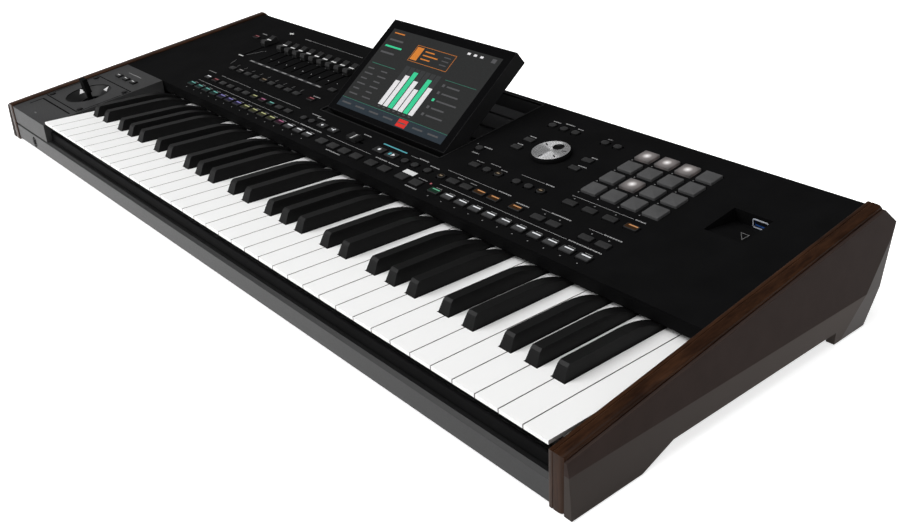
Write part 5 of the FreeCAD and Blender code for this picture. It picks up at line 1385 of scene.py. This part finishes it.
class KEYBOARD_OT_sockets(bpy.types.Operator):
    """Finishes the sockets, the power switch and the storage port"""
    bl_idname = "keyboard.sockets"
    bl_label = "Sockets"

    def execute(self, context):
        edge = context.scene.keyboard_case.edge
        dress("sockets", "socket_black", edge / 4)
        dress("power_rocker", "case_black", edge / 2)
        self.storage_port()
        self.rear()
        self.underside()
        return {"FINISHED"}

    def storage_port(self):
        """Rim and insert of the port, and the mark in front of it."""
        wall = plane(PANEL @ (Vector(PORT_PLACE) * MM), -PANEL.col[1].to_3d())
        wide, tall = PORT_HALF
        bm = bmesh.new()
        hoop(bm, [outline((-wide, -tall), PORT_HALF, PORT_CORNER, *pair) for pair in PORT_RINGS])
        for across, lower, upper, foot, top, index in PORT_BLOCKS:
            slab(bm, -wide * across, wide * across, tall * lower, tall * upper, foot, top, index)
        piece("storage_port_rim", bm, ["port_pale", "tongue_blue", "socket_black"], wall, "case")
        corners = [Vector(point) for point in PORT_MARK]
        middle = sum(corners, Vector()) / len(corners)
        bm = bmesh.new()
        for start, end in zip(corners, corners[1:] + corners[:1]):
            plate(bm, (start, end, end.lerp(middle, PORT_MARK_WIDTH), start.lerp(middle, PORT_MARK_WIDTH)),
                  INK_LOW, PORT_MARK_HIGH)
        piece("storage_port_mark", bm, ["ink_grey"], PANEL, "case")

    def rear(self):
        """Rings round the sockets, their labels, and the screws of the rear wall."""
        bm = bmesh.new()
        front, rear = REAR_WORD_PLACE
        for name, mount in mounts.items():
            if mount["kind"] != "bore" or name == "headphone_jack":
                continue
            place = REAR.inverted() @ Vector(mount["pos_m"]) / MM
            inner, wide = SOCKET_RINGS["data" if name.startswith("data") else "jack"]
            ring(bm, place.x, place.y, inner, inner + wide, SOCKET_RING_HIGH)
            words(bm, place.x - SOCKET_WORD_HALF, place.x + SOCKET_WORD_HALF,
                  place.y + front, place.y + rear, 1)
        for left, right in REAR_LINES:
            slab(bm, left, right, *REAR_LINE_PLACE, index=1)
        for left, right in REAR_WORDS:
            words(bm, left, right, front, rear, 1)
        for x in REAR_SCREWS:
            for side in (-1, 1):
                screw(bm, side * x, REAR_SCREW_PLACE, REAR_SCREW_RADIUS, 2, 3)
        piece("rear_fittings", bm, ["zinc_steel", "ink_grey", "screw_black", "slot_dark"], REAR, "case")

    def underside(self):
        """Screws of the bottom pan."""
        low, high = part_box("bottom_pan")
        below = plane(Vector(((low.x + high.x) / 2, (low.y + high.y) / 2, low.z)), DOWN)
        half_x, half_y = ((high[axis] - low[axis]) / 2 / MM - PAN_SCREW_INSET for axis in (0, 1))
        bm = bmesh.new()
        for count in range(PAN_SCREWS):
            x = half_x * (2.0 * count / (PAN_SCREWS - 1) - 1.0)
            for side in (-1, 1):
                screw(bm, x, side * half_y, PAN_SCREW_RADIUS, 0, 1)
        piece("pan_screws", bm, ["screw_black", "slot_dark"], below, "case")


# Stage: lamps as place, size and the property of their power, half the floor's side and what it gives back to the
# eye, the heights and tones between which the room fades, and the camera's sensor in millimetres

LAMPS = {
    "key_lamp": ((-1.3, -1.9, 2.3), 2.2, "key_power"),
    "fill_lamp": ((2.1, -1.3, 1.1), 1.6, "fill_power"),
    "top_lamp": ((0.3, -0.4, 2.8), 2.4, "top_power"),
}
FLOOR_SIZE = 14.0
FLOOR_LIFT = 0.7
ROOM_FADE = ((0.06, 1.0), (0.26, 0.12))
SENSOR_WIDTH = 36.0


class KEYBOARD_OT_stage(bpy.types.Operator):
    """Sets up the floor, the light and the camera"""
    bl_idname = "keyboard.stage"
    bl_label = "Stage"

    def execute(self, context):
        scene = context.scene
        looks = scene.keyboard_stage
        scene.view_settings.view_transform = "Standard"
        self.floor(scene, tuple(looks.floor_colour))
        self.world(scene)
        middle = (cad_low + cad_high) / 2
        for name, (place, size, strength) in LAMPS.items():
            lamp = bpy.data.lights.new(name, "AREA")
            lamp.size = size
            lamp.energy = getattr(looks, strength)
            holder = bpy.data.objects.new(name, lamp)
            scene.collection.objects.link(holder)
            holder.location = place
            holder.rotation_euler = (middle - Vector(place)).to_track_quat("-Z", "Y").to_euler()
        camera = bpy.data.cameras.new("photo_camera")
        camera.lens = looks.lens
        camera.sensor_width = SENSOR_WIDTH
        camera.shift_x, camera.shift_y = looks.shift
        holder = bpy.data.objects.new("photo_camera", camera)
        scene.collection.objects.link(holder)
        holder.matrix_world = (
            Matrix.Translation(looks.camera_place) @ Matrix.Rotation(looks.camera_heading, 4, "Z")
            @ Matrix.Rotation(looks.camera_pitch, 4, "X") @ Matrix.Rotation(looks.camera_roll, 4, "Z"))
        scene.camera = holder
        return {"FINISHED"}

    def floor(self, scene, colour):
        """A wide floor whose material is paler to the camera and in reflections."""
        made = Finish("stage_floor")
        path = made.node("LightPath").outputs
        seen = made.math("MAXIMUM", path["Is Camera Ray"], path["Is Glossy Ray"])
        seen = made.math("MAXIMUM", seen, path["Is Transmission Ray"])
        made.set(Base_Color=made.mottle(made.noise(3.0), colour, 0.99, 1.0), Emission_Color=(1.0, 1.0, 1.0, 1.0),
                 Emission_Strength=made.math("MULTIPLY", seen, FLOOR_LIFT), Roughness=0.9, Specular_IOR_Level=0.0)
        bm = bmesh.new()
        bmesh.ops.create_grid(bm, x_segments=4, y_segments=4, size=FLOOR_SIZE)
        mesh = bpy.data.meshes.new("stage_floor")
        bm.to_mesh(mesh)
        bm.free()
        mesh.materials.append(made.material)
        ground = bpy.data.objects.new("stage_floor", mesh)
        scene.collection.objects.link(ground)
        ground.location.z = cad_low.z

    def world(self, scene):
        """A soft room, white near the floor and darker overhead."""
        world = bpy.data.worlds.new("studio")
        scene.world = world
        world.use_nodes = True
        tree = world.node_tree
        place = tree.nodes.new("ShaderNodeTexCoord")
        parts = tree.nodes.new("ShaderNodeSeparateXYZ")
        fade = tree.nodes.new("ShaderNodeValToRGB")
        tree.links.new(place.outputs["Generated"], parts.inputs["Vector"])
        tree.links.new(parts.outputs["Z"], fade.inputs["Fac"])
        tree.links.new(fade.outputs["Color"], tree.nodes["Background"].inputs["Color"])
        for element, (position, tone) in zip(fade.color_ramp.elements, ROOM_FADE):
            element.position = position
            element.color = (tone, tone, tone, 1.0)


OPERATORS = (
    KEYBOARD_OT_case, KEYBOARD_OT_inside, KEYBOARD_OT_keys, KEYBOARD_OT_buttons, KEYBOARD_OT_pads, KEYBOARD_OT_dial,
    KEYBOARD_OT_faders, KEYBOARD_OT_joystick, KEYBOARD_OT_display, KEYBOARD_OT_print, KEYBOARD_OT_sockets,
    KEYBOARD_OT_stage,
)
GROUPS = {
    "keyboard_case": KEYBOARD_PG_case, "keyboard_keys": KEYBOARD_PG_keys, "keyboard_controls": KEYBOARD_PG_controls,
    "keyboard_screen": KEYBOARD_PG_screen, "keyboard_stage": KEYBOARD_PG_stage,
}


class KEYBOARD_PT_sidebar(bpy.types.Panel):
    """Lists the keyboard's steps"""
    bl_idname = "KEYBOARD_PT_sidebar"
    bl_label = "Keyboard"
    bl_space_type = "VIEW_3D"
    bl_region_type = "UI"
    bl_category = "Keyboard"

    def draw(self, context):
        for operator in OPERATORS:
            self.layout.operator(operator.bl_idname)
        for name, group in GROUPS.items():
            settings = getattr(context.scene, name)
            for key in group.__annotations__:
                self.layout.prop(settings, key)


CLASSES = (*GROUPS.values(), *OPERATORS, KEYBOARD_PT_sidebar)


def register():
    for entry in CLASSES:
        bpy.utils.register_class(entry)
    for name, group in GROUPS.items():
        setattr(bpy.types.Scene, name, PointerProperty(type=group))


def unregister():
    for name in GROUPS:
        delattr(bpy.types.Scene, name)
    for entry in reversed(CLASSES):
        bpy.utils.unregister_class(entry)


def main():
    register()
    for operator in OPERATORS:
        group, name = operator.bl_idname.split(".")
        getattr(getattr(bpy.ops, group), name)()


if __name__ == "__main__":
    main()
